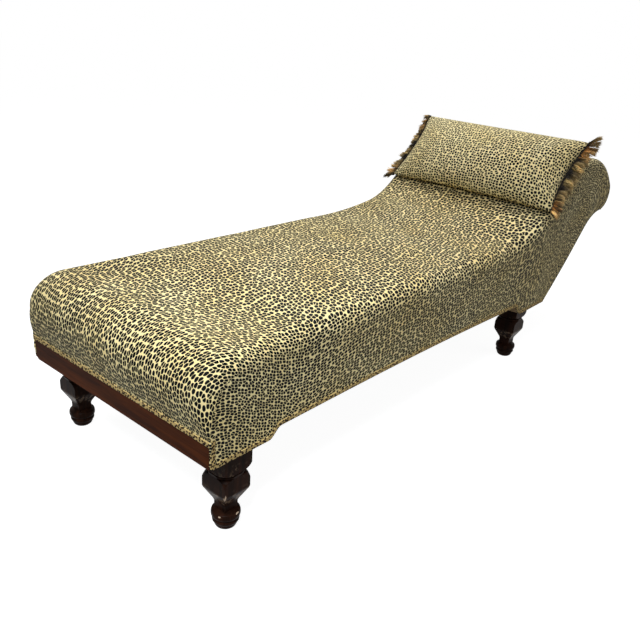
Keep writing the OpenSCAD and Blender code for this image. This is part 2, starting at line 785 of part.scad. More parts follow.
module gimp_foot() {
    color([0.72, 0.58, 0.30])
        place()
            translate([-gimp_t, -half_w, foot_top_z])
                cube([gimp_t, frame_w, gimp_w]);
}

// Pillow

// Height of the head's face above a point, with its straight slope carried on upwards
function rest_z(x, y) = max([for (i = [i_seam + 1 : i_seam + 6]) let (
    a = form_pt(i, y, 0),
    b = form_pt(i + 1, y, 0)
) a[2] + (x - a[0]) * (b[2] - a[2]) / (b[0] - a[0])]);
pillow_e = [cos(pillow_a), sin(pillow_a)];
pillow_n = [-sin(pillow_a), cos(pillow_a)];
pillow_low = [slope_0[0] - pillow_x, rest_z(slope_0[0] - pillow_x, 0) + pillow_rest];
pillow_c = pillow_low + pillow_e * pillow_h / 2;
// Point on the pillow after its turn and tilt
function settled(p) = let (
    x = p[0] - pillow_c[0],
    z = p[2] - pillow_c[1],
    y1 = p[1] * cos(pillow_turn) - x * sin(pillow_turn)
) [pillow_c[0] + x * cos(pillow_turn) + p[1] * sin(pillow_turn),
   y1 * cos(pillow_tilt) - z * sin(pillow_tilt),
   pillow_c[1] + z * cos(pillow_tilt) + y1 * sin(pillow_tilt)];
pillow_nu = 12;
pillow_nv = 10;

// Fullness, nearly level in the middle and falling to the seams
function fullness(u, v) = pow((1 - pow(abs(u), 3.2)) * (1 - pow(abs(v), 2.4)), 0.55);
// Point of the pillow d inside its outer face, with u across and v up the seams' plane
function pillow_pt(u, v, front, d) = let (
    y = u * (pillow_w / 2 - d - pillow_draw * (1 - v * v)),
    s = v * (pillow_h / 2 - d - pillow_draw * 0.6 * (1 - u * u)),
    n = (front ? pillow_front_t - d : d - pillow_back_t) * fullness(u, v),
    p = pillow_c + s * pillow_e + n * pillow_n,
    q = settled([p[0], y, p[1]])
) [q[0], q[1], front ? q[2] : max(q[2], rest_z(q[0], q[1]) + soft_gap + d)];
// Even steps in angle crowd the grid towards the seams
function seam_steps(n) = [for (k = [0 : n]) -cos(180 * k / n)];
pillow_u = seam_steps(pillow_nu);
pillow_v = seam_steps(pillow_nv);

// One sewn panel: a sheet from depth d0 to d1, closed round the seam
module pillow_panel(front) {
    nv = pillow_nv + 1;
    grid = (pillow_nu + 1) * nv;
    pts = [for (d = [0, pillow_skin], u = pillow_u, v = pillow_v) pillow_pt(u, v, front, d)];
    top = corner_grid_faces(pillow_nu + 1, nv);
    under = raised(turned(top), grid);
    loop = concat([for (j = [0 : pillow_nv - 1]) j],
                  [for (i = [0 : pillow_nu - 1]) i * nv + pillow_nv],
                  [for (j = [pillow_nv : -1 : 1]) pillow_nu * nv + j],
                  [for (i = [pillow_nu : -1 : 1]) i * nv]);
    rim = flat([for (k = [0 : len(loop) - 1]) let (a = loop[k], b = loop[(k + 1) % len(loop)])
        quads(a, a + grid, b + grid, b)]);
    all = concat(top, under, rim);
    polyhedron(pts, front ? turned(all) : all);
}

module pillow_front() {
    color([0.78, 0.66, 0.42])
        place()
            pillow_panel(true);
}

module pillow_back() {
    color([0.78, 0.66, 0.42])
        place()
            pillow_panel(false);
}

module pillow_filling() {
    nv = pillow_nv + 1;
    grid = (pillow_nu + 1) * nv;
    depth = pillow_skin + soft_gap;
    pts = [for (front = [true, false], u = pillow_u, v = pillow_v) pillow_pt(u, v, front, depth)];
    // The two faces share the seam's points, so the back's own copies are not used
    function on_seam(i, j) = i == 0 || j == 0 || i == pillow_nu || j == pillow_nv;
    function back_id(i, j) = i * nv + j + (on_seam(i, j) ? 0 : grid);
    top = corner_grid_faces(pillow_nu + 1, nv);
    function shared(k) = back_id(floor(k / nv), k % nv);
    under = [for (f = turned(top)) [for (k = f) shared(k)]];
    color([0.90, 0.88, 0.82])
        place()
            polyhedron(pts, turned(concat(top, under)));
}

// Brush fringe: strands in two rows, joined at their roots to the heading and apart above them.
// Strand tips wander a little by a fixed rule, and lean outwards at the pillow's corners.
strand_rows = 2;
strand_tip = 0.8;
corner_lean = 14;
row_spread = 2.5;
function wander(a, b) = sin(a * 137.5 + b * 71) * 0.9;
// Point on the heading, out from the seam, before the pillow settles
function fringe_root(a, b, out, s) = let (
    v = 2 * a / strands - 1,
    p = pillow_c + (v * pillow_h / 2) * pillow_e + (b - 1) * heading_t / 2 * pillow_n
) [p[0], s * (pillow_w / 2 - pillow_draw * (1 - v * v) + soft_gap + out), p[1]];
function fringe_tip(a, b, along, across, s) = let (
    root = (fringe_root(a, b, heading_w, s) + fringe_root(a + 1, b + 1, heading_w, s)) / 2,
    v = (2 * a + 1) / strands - 1,
    e = (corner_lean * pow(v, 5) + wander(a, b) + along * strand_tip) * pillow_e,
    n = ((2 * b - 1) * row_spread + across * strand_tip - fringe_back * (1 + v) / 2) * pillow_n,
    long = fringe_l * (0.95 + 0.05 * sin(a * 61 + b * 113) * (1 - pow(v, 4)))
) root + [e[0] + n[0], s * long, e[1] + n[1] - fringe_l * 0.1];

module fringe(left) {
    s = left ? 1 : -1;
    base = (strands + 1) * (strand_rows + 1);
    roots = [for (a = [0 : strands], b = [0 : strand_rows]) fringe_root(a, b, heading_w, s)];
    back = [for (a = [0 : strands], b = [0, strand_rows]) fringe_root(a, b, 0, s)];
    tips = [for (a = [0 : strands - 1], b = [0 : strand_rows - 1], c = [[-1, -1], [1, -1], [1, 1], [-1, 1]])
        fringe_tip(a, b, c[0], c[1], s)];
    function root_id(a, b) = a * (strand_rows + 1) + b;
    function back_id(a, b) = base + 2 * a + b;
    function tip_id(a, b) = base + len(back) + 4 * (a * strand_rows + b);
    strand_faces = flat([for (a = [0 : strands - 1], b = [0 : strand_rows - 1]) let (
        t = tip_id(a, b),
        r = [root_id(a, b), root_id(a + 1, b), root_id(a + 1, b + 1), root_id(a, b + 1)]
    ) concat(flat([for (k = [0 : 3]) quads(r[k], r[(k + 1) % 4], t + (k + 1) % 4, t + k)]),
             quads(t, t + 1, t + 2, t + 3))]);
    walls = flat([for (a = [0 : strands - 1]) concat(
        quads(back_id(a, 0), back_id(a + 1, 0), root_id(a + 1, 0), root_id(a, 0)),
        quads(back_id(a, 1), root_id(a, 2), root_id(a + 1, 2), back_id(a + 1, 1)),
        quads(back_id(a, 0), back_id(a, 1), back_id(a + 1, 1), back_id(a + 1, 0)))]);
    ends = [[back_id(0, 0), root_id(0, 0), root_id(0, 1), root_id(0, 2), back_id(0, 1)],
            [back_id(strands, 1), root_id(strands, 2), root_id(strands, 1), root_id(strands, 0),
             back_id(strands, 0)]];
    faces = concat(strand_faces, walls, ends);
    color([0.50, 0.33, 0.16])
        place()
            polyhedron([for (p = concat(roots, back, tips)) settled(p)],
                       left ? faces : turned(faces));
}

foot_rail();
tack_rail();
side_rail(true);  // side_rail_left
side_rail(false);  // side_rail_right
head_cross_rail();
heel_rail();
scroll_board(true);  // scroll_board_left
scroll_board(false);  // scroll_board_right
crest_rail();
back_stretcher();
back_lining();
leg(leg_foot_x, leg_y, foot_rail_z);  // leg_foot_left
leg(leg_foot_x, -leg_y, foot_rail_z);  // leg_foot_right
leg(leg_head_x, leg_y, heel_z);  // leg_head_left
leg(leg_head_x, -leg_y, heel_z);  // leg_head_right
foot_block(true);  // corner_block_foot_left
foot_block(false);  // corner_block_foot_right
head_block(true);  // corner_block_head_left
head_block(false);  // corner_block_head_right
block_screws();
frame_dowels();
cleat(true);  // cleat_left
cleat(false);  // cleat_right
seat_webbing_cross();
seat_webbing_long();
seat_springs();
seat_hessian();
seat_pad();
head_webbing();
head_hessian();
head_pad();
dust_cover();
seat_cover();
head_cover();
outside_back_cover();
gimp_side(true);  // gimp_left
gimp_side(false);  // gimp_right
gimp_foot();
pillow_front();
pillow_back();
pillow_filling();
fringe(true);  // fringe_left
fringe(false);  // fringe_right
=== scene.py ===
# %% [markdown]
# This lesson dresses a chaise longue: a long padded seat with one raised end that rolls over,
# a polished rail across the foot, four turned legs and a loose fringed pillow.
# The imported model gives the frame, and every piece here is built in that same frame, in metres.

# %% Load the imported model
import math
import random

import bmesh
import bpy
import numpy as np
from mathutils import Matrix, Vector, noise


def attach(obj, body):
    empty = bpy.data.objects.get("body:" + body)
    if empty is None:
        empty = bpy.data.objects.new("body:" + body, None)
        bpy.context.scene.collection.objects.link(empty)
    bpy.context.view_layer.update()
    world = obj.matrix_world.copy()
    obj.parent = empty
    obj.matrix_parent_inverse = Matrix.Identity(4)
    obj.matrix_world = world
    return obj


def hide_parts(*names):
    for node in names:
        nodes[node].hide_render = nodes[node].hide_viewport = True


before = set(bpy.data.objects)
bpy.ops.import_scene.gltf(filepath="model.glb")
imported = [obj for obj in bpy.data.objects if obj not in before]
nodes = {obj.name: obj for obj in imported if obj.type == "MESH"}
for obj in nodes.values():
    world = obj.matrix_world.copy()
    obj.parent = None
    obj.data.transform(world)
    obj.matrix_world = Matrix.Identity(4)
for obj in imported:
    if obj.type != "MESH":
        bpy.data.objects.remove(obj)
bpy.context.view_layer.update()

# %% [markdown]
# The camera comes first, because every look is judged through it. It could be placed by eye, but
# its place and lens were solved from the straight edges of the seat, the rail and the legs.
# Its matrix is made of three directions, right, up and backwards, and of its place.

# %% Camera
def add_object(name, data):
    """A new object around this data, linked into the scene."""
    body = bpy.data.objects.new(name, data)
    bpy.context.scene.collection.objects.link(body)
    return body


camera = add_object("camera", bpy.data.cameras.new("camera"))
camera.data.lens = 38.04
camera.data.sensor_width = 36.0
forward = Vector((0.7103, 0.5911, -0.3822)).normalized()
right = Vector((0.6584, -0.7500, 0.0635))
right = (right - right.dot(forward) * forward).normalized()
up = right.cross(forward)
camera.matrix_world = Matrix.Translation((-1.6805, -1.1640, 0.9727)) @ Matrix(
    (right, up, -forward)).transposed().to_4x4()
bpy.context.scene.camera = camera
print("Camera height:", round(camera.location.z, 3))

# %% [markdown]
# Every finish here is built from nodes. These helpers add a node, fill its sockets and link it
# in one line, so that a material reads as a list of steps.

# %% Helpers for nodes
def new_material(name):
    material = bpy.data.materials.new(name)
    material.use_nodes = True
    return material, material.node_tree, material.node_tree.nodes["Principled BSDF"]


def set_sockets(node, sockets):
    """Fills sockets by name or number, and links those that are given another node's socket."""
    for key, value in sockets.items():
        if isinstance(value, bpy.types.NodeSocket):
            node.id_data.links.new(value, node.inputs[key])
        else:
            node.inputs[key].default_value = value


def add_node(tree, kind, sockets=None, **settings):
    node = tree.nodes.new(kind)
    for name, value in settings.items():
        setattr(node, name, value)
    set_sockets(node, sockets or {})
    return node


def maths(tree, operation, *values):
    return add_node(tree, "ShaderNodeMath", dict(enumerate(values)), operation=operation).outputs[0]


# %% [markdown]
# The studio has a white floor with a soft shadow and a white background. Strong lamps could make
# them white, but would wash out the object. So the floor and the world glow only for what sees
# them straight from the camera, by gloss or through glass, and the lamps stay plain: a large one
# from above, a small one over the head end, a cool narrow one at the foot, and a weak fill.

# %% Studio helpers
def background_share(tree):
    """1 for a ray from the camera, by gloss or through glass, and 0 for any other."""
    rays = add_node(tree, "ShaderNodeLightPath").outputs
    share = maths(tree, "MAXIMUM", rays["Is Camera Ray"], rays["Is Glossy Ray"])
    return maths(tree, "MAXIMUM", share, rays["Is Transmission Ray"])


def lamp(name, at, aim, size, power, colour=(1, 1, 1), spread=180):
    data = bpy.data.lights.new(name, "AREA")
    data.spread = math.radians(spread)
    data.shape = "RECTANGLE"
    data.size, data.size_y = size
    data.energy = power
    data.color = colour
    turn = (Vector(aim) - Vector(at)).to_track_quat("-Z", "Y").to_matrix().to_4x4()
    add_object(name, data).matrix_world = Matrix.Translation(at) @ turn


def mesh_piece(bm, name, material=None):
    """Makes an object of a finished bmesh, and frees the bmesh."""
    mesh = bpy.data.meshes.new(name)
    bm.to_mesh(mesh)
    bm.free()
    mesh.shade_smooth()
    if material:
        mesh.materials.append(material)
    return add_object(name, mesh)


# %% Floor and world
FLOOR_HALF, FLOOR_GLOW, SKY_LIGHT = 40, 0.94, 0.20
WHITE = (1, 1, 1, 1)
floor_white, tree, shader = new_material("floor_white")
set_sockets(shader, {"Base Color": (0.30, 0.30, 0.30, 1), "Roughness": 0.9,
                     "Specular IOR Level": 0.0})
share = maths(tree, "MULTIPLY", background_share(tree), FLOOR_GLOW)
glow = add_node(tree, "ShaderNodeEmission", {"Strength": share})
both = add_node(tree, "ShaderNodeAddShader", {0: shader.outputs[0], 1: glow.outputs[0]})
set_sockets(tree.nodes["Material Output"], {0: both.outputs[0]})

bm = bmesh.new()
bmesh.ops.create_grid(bm, x_segments=1, y_segments=1, size=FLOOR_HALF)
floor = mesh_piece(bm, "floor", floor_white)

world = bpy.data.worlds.new("studio")
bpy.context.scene.world = world
world.use_nodes = True
tree = world.node_tree
sky = tree.nodes["Background"]
set_sockets(sky, {"Color": WHITE, "Strength": SKY_LIGHT})
seen_sky = add_node(tree, "ShaderNodeBackground", {"Color": WHITE, "Strength": 1.0})
mix = add_node(tree, "ShaderNodeMixShader",
               {0: background_share(tree), 1: sky.outputs[0], 2: seen_sky.outputs[0]})
set_sockets(tree.nodes["World Output"], {0: mix.outputs[0]})
print("Floor and world glow for the camera")

# %% Lamps
lamp("key", (-0.1, 1.1, 3.5), (0.05, 0, 0.35), (1.6, 1.4), 31, (1.0, 0.98, 0.95))
lamp("head", (1.0, 0.4, 2.7), (0.45, 0, 0.6), (0.7, 0.7), 31, (0.96, 0.98, 1.0))
lamp("front", (-2.2, -1.0, 2.5), (-0.9, -0.2, 0.35), (0.8, 0.7), 8.6, (0.88, 0.95, 1.0), 57)
lamp("fill", (1.2, -2.9, 1.5), (0.3, 0, 0.35), (2.4, 1.4), 11)
bpy.context.scene.view_settings.view_transform = "Standard"

# %% [markdown]
# The upholstery follows one outline, seen from the side: up the foot, over its round edge,
# along the seat, up the raised end, over its roll and down the outside back.
# It could be a freehand curve, but straight lines and arcs that run into each other, as on an
# upholsterer's template, give clean bends. Lengths here are millimetres from the foot rail's
# face, and place() takes them into the frame.

# %% The outline's measures
CENTRE = 974.684
HALF_W = 330.0
FOOT_RAIL_Z, FOOT_TOP_Z, FRONT_BAND = 200.0, 252.0, 14
FRONT_Z = FOOT_TOP_Z + FRONT_BAND
SEAT_Z, FOOT_ROUND, FOOT_BULGE = 421.0, 78.0, 16.0
ROUND_Z = SEAT_Z - FOOT_ROUND
SIDE_ROUND, HEAD_ROUND, CREASE, NOSE_EDGE = 36.0, 28.0, 2, 3.3
SEAT_CROWN, SLIGHT_CROWN, HEAD_CROWN = 7, 4, 2.8
LEG_FOOT_X, LEG_HEAD_X = 84.5, 1367.5
HEEL_X, HEEL_Z = LEG_HEAD_X + 132, 178.0
BACK_SWELL = 5


def place(x, y, z):
    return Vector(((x - CENTRE) / 1000, y / 1000, z / 1000))


def polar(angle):
    return np.array([math.cos(math.radians(angle)), math.sin(math.radians(angle))])


def arc(centre, radius, start, end, steps):
    """Points of an arc after its start."""
    return [centre + radius * polar(start + (end - start) * k / steps) for k in range(1, steps + 1)]


# %% Centres of the arcs
RISE_X, RISE_R, RISE_A = LEG_HEAD_X - 312, 1480.0, 9.5
SWEEP_R, HEAD_A, SLOPE_L = 363.0, 36.0, 148.0
TOP_R, TOP_A, NOSE_R, HOLLOW_R, BACK_A = 289.0, 46.0, 62.0, 189.0, 41.3
rise_c = np.array([RISE_X, SEAT_Z + RISE_R])
split = rise_c + RISE_R * polar(-90 + RISE_A)
sweep_c = split + SWEEP_R * polar(90 + RISE_A)
slope_0 = sweep_c + SWEEP_R * polar(-90 + HEAD_A)
slope_1 = slope_0 + SLOPE_L * polar(HEAD_A)
top_c = slope_1 - TOP_R * polar(90 + HEAD_A)
nose_c = top_c + (TOP_R - NOSE_R) * polar(90 - TOP_A)
heel = np.array([HEEL_X, HEEL_Z])
back_d, back_n = polar(BACK_A), polar(BACK_A - 90)
hollow_m = heel + HOLLOW_R * back_n - nose_c
hollow_b = hollow_m @ back_d
hollow_s = -hollow_b - math.sqrt(hollow_b ** 2 - hollow_m @ hollow_m + (NOSE_R + HOLLOW_R) ** 2)
back_top = heel + hollow_s * back_d
hollow_c = back_top + HOLLOW_R * back_n
nose_end = math.degrees(math.atan2(*(hollow_c - nose_c)[::-1]))
print("Seat meets head at", split.round(1), "and the back's hollow starts at", back_top.round(1))

# %% [markdown]
# Each point of the outline also keeps the radius of the side's rounded edge there, and the crown,
# by which the middle stands higher than the edges.

# %% Points along the outline
run = [(0, FOOT_TOP_Z, CREASE, 0), (0, FRONT_Z, CREASE, 0)]


def extend(points, radius, crown, power=1.0):
    """Adds points while the edge's radius and the crown go from their first value to their last."""
    for k, p in enumerate(points, 1):
        t = k / len(points)
        run.append((p[0], p[1], radius[0] + (radius[1] - radius[0]) * t ** power,
                    crown[0] + (crown[1] - crown[0]) * t))


seat_edge, seat_crown = (SIDE_ROUND, SIDE_ROUND), (SEAT_CROWN, SEAT_CROWN)
front = [(-FOOT_BULGE * math.sin(math.pi / 2 * k / 8), FRONT_Z + (ROUND_Z - FRONT_Z) * k / 8)
         for k in range(1, 9)]
extend(front, (CREASE, SIDE_ROUND), (0, SLIGHT_CROWN), 1.2)
fore = [(-FOOT_BULGE + (FOOT_ROUND + FOOT_BULGE) * (1 + math.cos(math.radians(a))),
         ROUND_Z + FOOT_ROUND * math.sin(math.radians(a))) for a in np.linspace(180, 90, 17)[1:]]
extend(fore, seat_edge, (SLIGHT_CROWN, SEAT_CROWN))
ROUND_END = len(run) - 1
extend([(FOOT_ROUND + (RISE_X - FOOT_ROUND) * k / 44, SEAT_Z) for k in range(1, 45)],
       seat_edge, seat_crown)
extend(arc(rise_c, RISE_R, -90, -90 + RISE_A, 12), seat_edge, seat_crown)
SPLIT = len(run) - 1
sweep_edge = SIDE_ROUND + (HEAD_ROUND - SIDE_ROUND) * 5 / 7
extend(arc(sweep_c, SWEEP_R, -90 + RISE_A, -90 + HEAD_A, 14), (SIDE_ROUND, sweep_edge),
       (SEAT_CROWN, SLIGHT_CROWN))
extend([slope_0 + (slope_1 - slope_0) * k / 8 for k in range(1, 9)], (sweep_edge, HEAD_ROUND),
       (SLIGHT_CROWN, HEAD_CROWN))
extend(arc(top_c, TOP_R, 90 + HEAD_A, 90 - TOP_A, 22), (HEAD_ROUND, HEAD_ROUND),
       (HEAD_CROWN, HEAD_CROWN))
extend(arc(nose_c, NOSE_R, 90 - TOP_A, nose_end, 14), (HEAD_ROUND, NOSE_EDGE), (HEAD_CROWN, 0))
NOSE = len(run) - 1
extend(arc(hollow_c, HOLLOW_R, nose_end + 180, 90 + BACK_A, 12), (CREASE, CREASE), (0, 0))
extend([back_top + (heel - back_top) * k / 14 + BACK_SWELL * math.sin(math.pi * k / 14) * back_n
        for k in range(1, 15)], (CREASE, CREASE), (0, 0))

run = np.array(run)
steps = np.diff(run[:, :2], axis=0)
along = np.concatenate([[0], np.cumsum(np.linalg.norm(steps, axis=1))])
tangents = np.gradient(run[:, :2], axis=0)
tangents /= np.linalg.norm(tangents, axis=1)[:, None]
inward = np.stack([tangents[:, 1], -tangents[:, 0]], axis=1)
print("The outline is", round(along[-1]), "mm long, with", len(run), "points")

# %% [markdown]
# The side panels' lower edge has a step at each leg and a slight arch between them. A list of its
# points is enough, because every height on it can be read by interpolation.

# %% Lower edge of the sides
LEG_HALF, LEG_MARGIN, CORNER_R = 37.5, 35, 8
FOOT_STEP, HALF_HEEL_STEP = 36, 25.2
ARCH_START_Z, ARCH_END_Z, ARCH_RISE = 223.0, 213.0, 7
CORNER_Z = FOOT_RAIL_Z + CORNER_R


def s_curve(p, q, steps):
    return [(p[0] + (q[0] - p[0]) * k / steps,
             p[1] + (q[1] - p[1]) * (1 - math.cos(math.pi * k / steps)) / 2)
            for k in range(1, steps + 1)]


step_foot = LEG_FOOT_X + LEG_HALF + LEG_MARGIN
arch_start = (step_foot + FOOT_STEP, ARCH_START_Z)
arch_end = (split[0] - HALF_HEEL_STEP, ARCH_END_Z)
low = [(0, CORNER_Z)]
low += [tuple(p) for p in arc(np.array([CORNER_R, CORNER_Z]), CORNER_R, 180, 270, 6)]
low += [(step_foot, FOOT_RAIL_Z)] + s_curve((step_foot, FOOT_RAIL_Z), arch_start, 8)
low += [(arch_start[0] + (arch_end[0] - arch_start[0]) * t,
         ARCH_START_Z + (ARCH_END_Z - ARCH_START_Z) * t + ARCH_RISE * math.sin(math.pi * t))
        for t in np.linspace(0, 1, 30)[1:]]
low += s_curve(arch_end, (split[0] + HALF_HEEL_STEP, HEEL_Z), 8) + [tuple(heel)]
LOW = np.array(low)


def low_z(x):
    return float(np.interp(x, LOW[:, 0], LOW[:, 1]))


print("The lower edge has", len(LOW), "points")

# %% [markdown]
# The cover is one cloth from the foot to the roll. Separate panels would show joins that the real
# one hasn't, so one bmesh grid is bent along the outline: it lies over the crown, turns down round
# each edge, and hangs flat on the sides. Each face also gets cloth coordinates in metres, so that
# the printed spots keep their size. First comes how much the print is stretched where.

# %% Stretch of the print
LENGTHWISE, FRONT_ACROSS, SLANT, FLAT = 0.80, 1.25, -0.20, 315.0
DOWNWARD_FOOT, DOWNWARD_HEAD = 1.35, 1.12
SLANT_STARTS, SLANT_ENDS = (150, 300), (1330, 260)
FRONT_CHANGES, DOWNWARD_CHANGES = (100, 350), (300, 1400)


def ease(s, start, length):
    """0 up to start, 1 from start + length on, and a smooth rise between them."""
    t = np.clip((s - start) / length, 0, 1)
    return t * t * (3 - 2 * t)


def slant_at(s):
    return ease(s, *SLANT_STARTS) * (1 - ease(s, *SLANT_ENDS))


fine = np.linspace(-500, 3500, 2001)
mean_slant = (slant_at(fine[1:]) + slant_at(fine[:-1])) / 2
drift = np.concatenate([[0], np.cumsum(mean_slant * np.diff(fine))])


def cloth_uv(s, g):
    """Print coordinates, in metres, of a spot at s along the outline and g from the middle line.

    On the seat the print is drawn out on a slant; on the front and sides its spots are finer.
    """
    across = FRONT_ACROSS + (LENGTHWISE - FRONT_ACROSS) * float(ease(s, *FRONT_CHANGES))
    top = max(-FLAT, min(FLAT, g))
    below = math.copysign(max(0.0, abs(g) - FLAT), g)
    u = LENGTHWISE * s + SLANT * float(slant_at(s)) * top
    downward = DOWNWARD_FOOT + (DOWNWARD_HEAD - DOWNWARD_FOOT) * float(ease(s, *DOWNWARD_CHANGES))
    v = across * top + downward * below + SLANT * float(np.interp(s, fine, drift))
    return u / 1000, v / 1000


print("The print drifts", round(float(drift[-1]) * SLANT), "mm sideways along the seat")

# %% Edges of the cover
SIDE_ROWS, EDGE_ROWS, TOP_ROWS = 14, 8, 34
ACROSS = 2 * (SIDE_ROWS + EDGE_ROWS) + TOP_ROWS
HEEL_I = next(k for k in range(SPLIT, NOSE) if run[k][0] >= HEEL_X)
back_run, back_along = run[:NOSE - 1:-1], along[-1] - along[:NOSE - 1:-1]
EDGE_SPARE = 21


def edge_point(i, angle):
    """Point of the rounded edge at outline point i: x, distance from the middle, z."""
    x, z, radius, crown = run[i]
    y = HALF_W - radius * (1 - math.sin(angle))
    depth = radius * (1 - math.cos(angle)) - crown * (1 - (y / HALF_W) ** 2)
    p = np.array([x, z]) + depth * inward[i]
    return p[0], y, p[1]


def foot_of_side(i):
    """Point of the lower edge, or past the heel of the back's edge, that faces outline point i."""
    if i <= ROUND_END:
        x = FOOT_ROUND * (along[i] / along[ROUND_END]) ** 2
        return x, low_z(x) if i else CORNER_Z
    if i < HEEL_I:
        return run[i][0], low_z(run[i][0])
    t = (along[i] - along[HEEL_I]) / (along[NOSE] - along[HEEL_I])
    s = t * back_along[-1]
    return tuple(float(np.interp(s, back_along, back_run[:, c])) for c in (0, 1))


print("The cloth reaches the heel at point", HEEL_I, "of the outline")


# %% Any point of the cover
def side_uv(i, side, x, z):
    """Cloth coordinates on a side panel, which hangs straight down from its edge."""
    if i <= ROUND_END:
        return cloth_uv(along[ROUND_END] + x - FOOT_ROUND,
                        side * (HALF_W + EDGE_SPARE + SEAT_Z - SIDE_ROUND - z))
    x0, y, z0 = edge_point(i, math.pi / 2)
    return cloth_uv(along[i] + x - x0, side * (HALF_W + run[i][2] * (math.pi / 2 - 1) + z0 - z))


def cover_point(i, j):
    """Point of the cover and its cloth coordinates, on the top, a rounded edge or a side."""
    side = -1 if j < ACROSS / 2 else 1
    k = min(j, ACROSS - j)
    if k >= SIDE_ROWS + EDGE_ROWS:
        y = edge_point(i, 0)[1] * (j - ACROSS / 2) / (TOP_ROWS / 2)
        p = run[i][:2] - run[i][3] * (1 - (y / HALF_W) ** 2) * inward[i]
        return (p[0], y, p[1]), cloth_uv(along[i], y)
    if k >= SIDE_ROWS:
        angle = math.pi / 2 * (SIDE_ROWS + EDGE_ROWS - k) / EDGE_ROWS
        x, y, z = edge_point(i, angle)
        return (x, side * y, z), cloth_uv(along[i], side * (HALF_W - run[i][2] * (1 - angle)))
    x0, y, z0 = edge_point(i, math.pi / 2)
    x1, z1 = foot_of_side(i)
    t = 1 - k / SIDE_ROWS
    x, z = x0 + (x1 - x0) * t, z0 + (z1 - z0) * t
    return (x, side * y, z), side_uv(i, side, x, z)


print("The cover has", ACROSS, "faces across")

# %% Softness of the cloth
BROAD_WAVE, FINE_WAVE = (7.0, 1.6), (17.0, 0.5)
FRONT_FADE, LOW_FADE, BACK_SHARE, PULLED_IN = 60, 40, 0.6, 0.4


def softened(p, i, on_side):
    """Presses the cloth in and out a little, less near its tacked edges."""
    q = Vector(p) / 1000
    swell = sum(noise.noise(q * waves) * height for waves, height in (BROAD_WAVE, FINE_WAVE))
    fade = min(1.0, along[i] / FRONT_FADE)
    if on_side:
        before_heel = p[0] < HEEL_X
        fade *= min(1.0, max(0.0, (p[2] - low_z(p[0])) / LOW_FADE)) if before_heel else BACK_SHARE
        return (p[0], p[1] + math.copysign(1, p[1]) * (swell - PULLED_IN) * fade, p[2])
    return (p[0] - inward[i][0] * swell * fade, p[1], p[2] - inward[i][1] * swell * fade)


def locate_cover(i, j, face_columns=None):
    """Place and print of a cover point; a face wholly on the side takes the side's print."""
    p, uv = cover_point(i, j)
    k = min(j, ACROSS - j)
    if face_columns and max(min(c, ACROSS - c) for c in face_columns) == k == SIDE_ROWS:
        uv = side_uv(i, -1 if j < ACROSS / 2 else 1, p[0], p[2])
    return softened(p, i, k <= SIDE_ROWS), uv


# %% Bend a grid and give it a thickness
def grid_piece(name, rows, columns, locate, material):
    """A bmesh grid whose point (i, j) is moved to locate(i, j), with its cloth coordinates."""
    bm = bmesh.new()
    bmesh.ops.create_grid(bm, x_segments=rows, y_segments=columns, size=1)
    layer = bm.loops.layers.uv.new("cloth")
    index = {v: (round((v.co.x + 1) / 2 * rows), round((v.co.y + 1) / 2 * columns))
             for v in bm.verts}
    for v in bm.verts:
        v.co = place(*locate(*index[v])[0])
    for face in bm.faces:
        js = [index[loop.vert][1] for loop in face.loops]
        for loop in face.loops:
            i, j = index[loop.vert]
            loop[layer].uv = locate(i, j, face_columns=(min(js), max(js)))[1]
    return mesh_piece(bm, name, material)


def face_outwards(bm):
    bmesh.ops.recalc_face_normals(bm, faces=bm.faces[:])


def smooth_to(mesh, degrees):
    """Smooth shading, except at edges sharper than this."""
    mesh.shade_smooth()
    mesh.set_sharp_from_angle(angle=math.radians(degrees))


def thicken(piece, thickness):
    """Gives a cloth a second layer on its inner side and joins the two along the rim."""
    bm = bmesh.new()
    bm.from_mesh(piece.data)
    mid = max(bm.faces, key=lambda f: f.calc_center_median().z)
    if mid.normal.z < 0:
        bmesh.ops.reverse_faces(bm, faces=bm.faces[:])
    bm.normal_update()
    rim = [e for e in bm.edges if e.is_boundary]
    copy = bmesh.ops.duplicate(bm, geom=bm.verts[:] + bm.edges[:] + bm.faces[:])
    inner_faces = [g for g in copy["geom"] if isinstance(g, bmesh.types.BMFace)]
    for v in [g for g in copy["geom"] if isinstance(g, bmesh.types.BMVert)]:
        v.co -= v.normal * thickness
    bmesh.ops.reverse_faces(bm, faces=inner_faces)
    inner_rim = [copy["edge_map"][e] for e in rim]
    bmesh.ops.bridge_loops(bm, edges=rim + inner_rim)
    face_outwards(bm)
    bm.to_mesh(piece.data)
    bm.free()
    smooth_to(piece.data, 60)


# %% [markdown]
# The velvet is printed with small dark spots that lie close together on a gold ground. An image
# could give them, but a Voronoi texture makes such a net at any size: the distance to the nearest
# cell edge is high in the middle of each cell, where the spot is. The distance to the cell's own
# point rounds the spots off. Noise bends the rows, as in a real coat, and frays the spots.

# %% Helpers for patterns
def noise_node(tree, vector, scale, detail):
    return add_node(tree, "ShaderNodeTexNoise",
                    {"Vector": vector, "Scale": scale, "Detail": detail}).outputs


def scaled_vector(tree, vector, scale):
    return add_node(tree, "ShaderNodeMapping", {"Vector": vector, "Scale": scale},
                    vector_type="POINT").outputs[0]


def vector_maths(tree, operation, *values):
    return add_node(tree, "ShaderNodeVectorMath", dict(enumerate(values)),
                    operation=operation).outputs[0]


def wandering(tree, vector, noise_colour, reach):
    """Coordinates that a noise moves by up to half of reach each way."""
    centred = vector_maths(tree, "SUBTRACT", noise_colour, (0.5, 0.5, 0.5))
    return vector_maths(tree, "MULTIPLY_ADD", centred, (reach, reach, 0), vector)


def cell_distance(tree, vector, feature, randomness):
    cells = add_node(tree, "ShaderNodeTexVoronoi",
                     {"Vector": vector, "Scale": 1.0, "Randomness": randomness},
                     voronoi_dimensions="2D", feature=feature)
    return cells.outputs


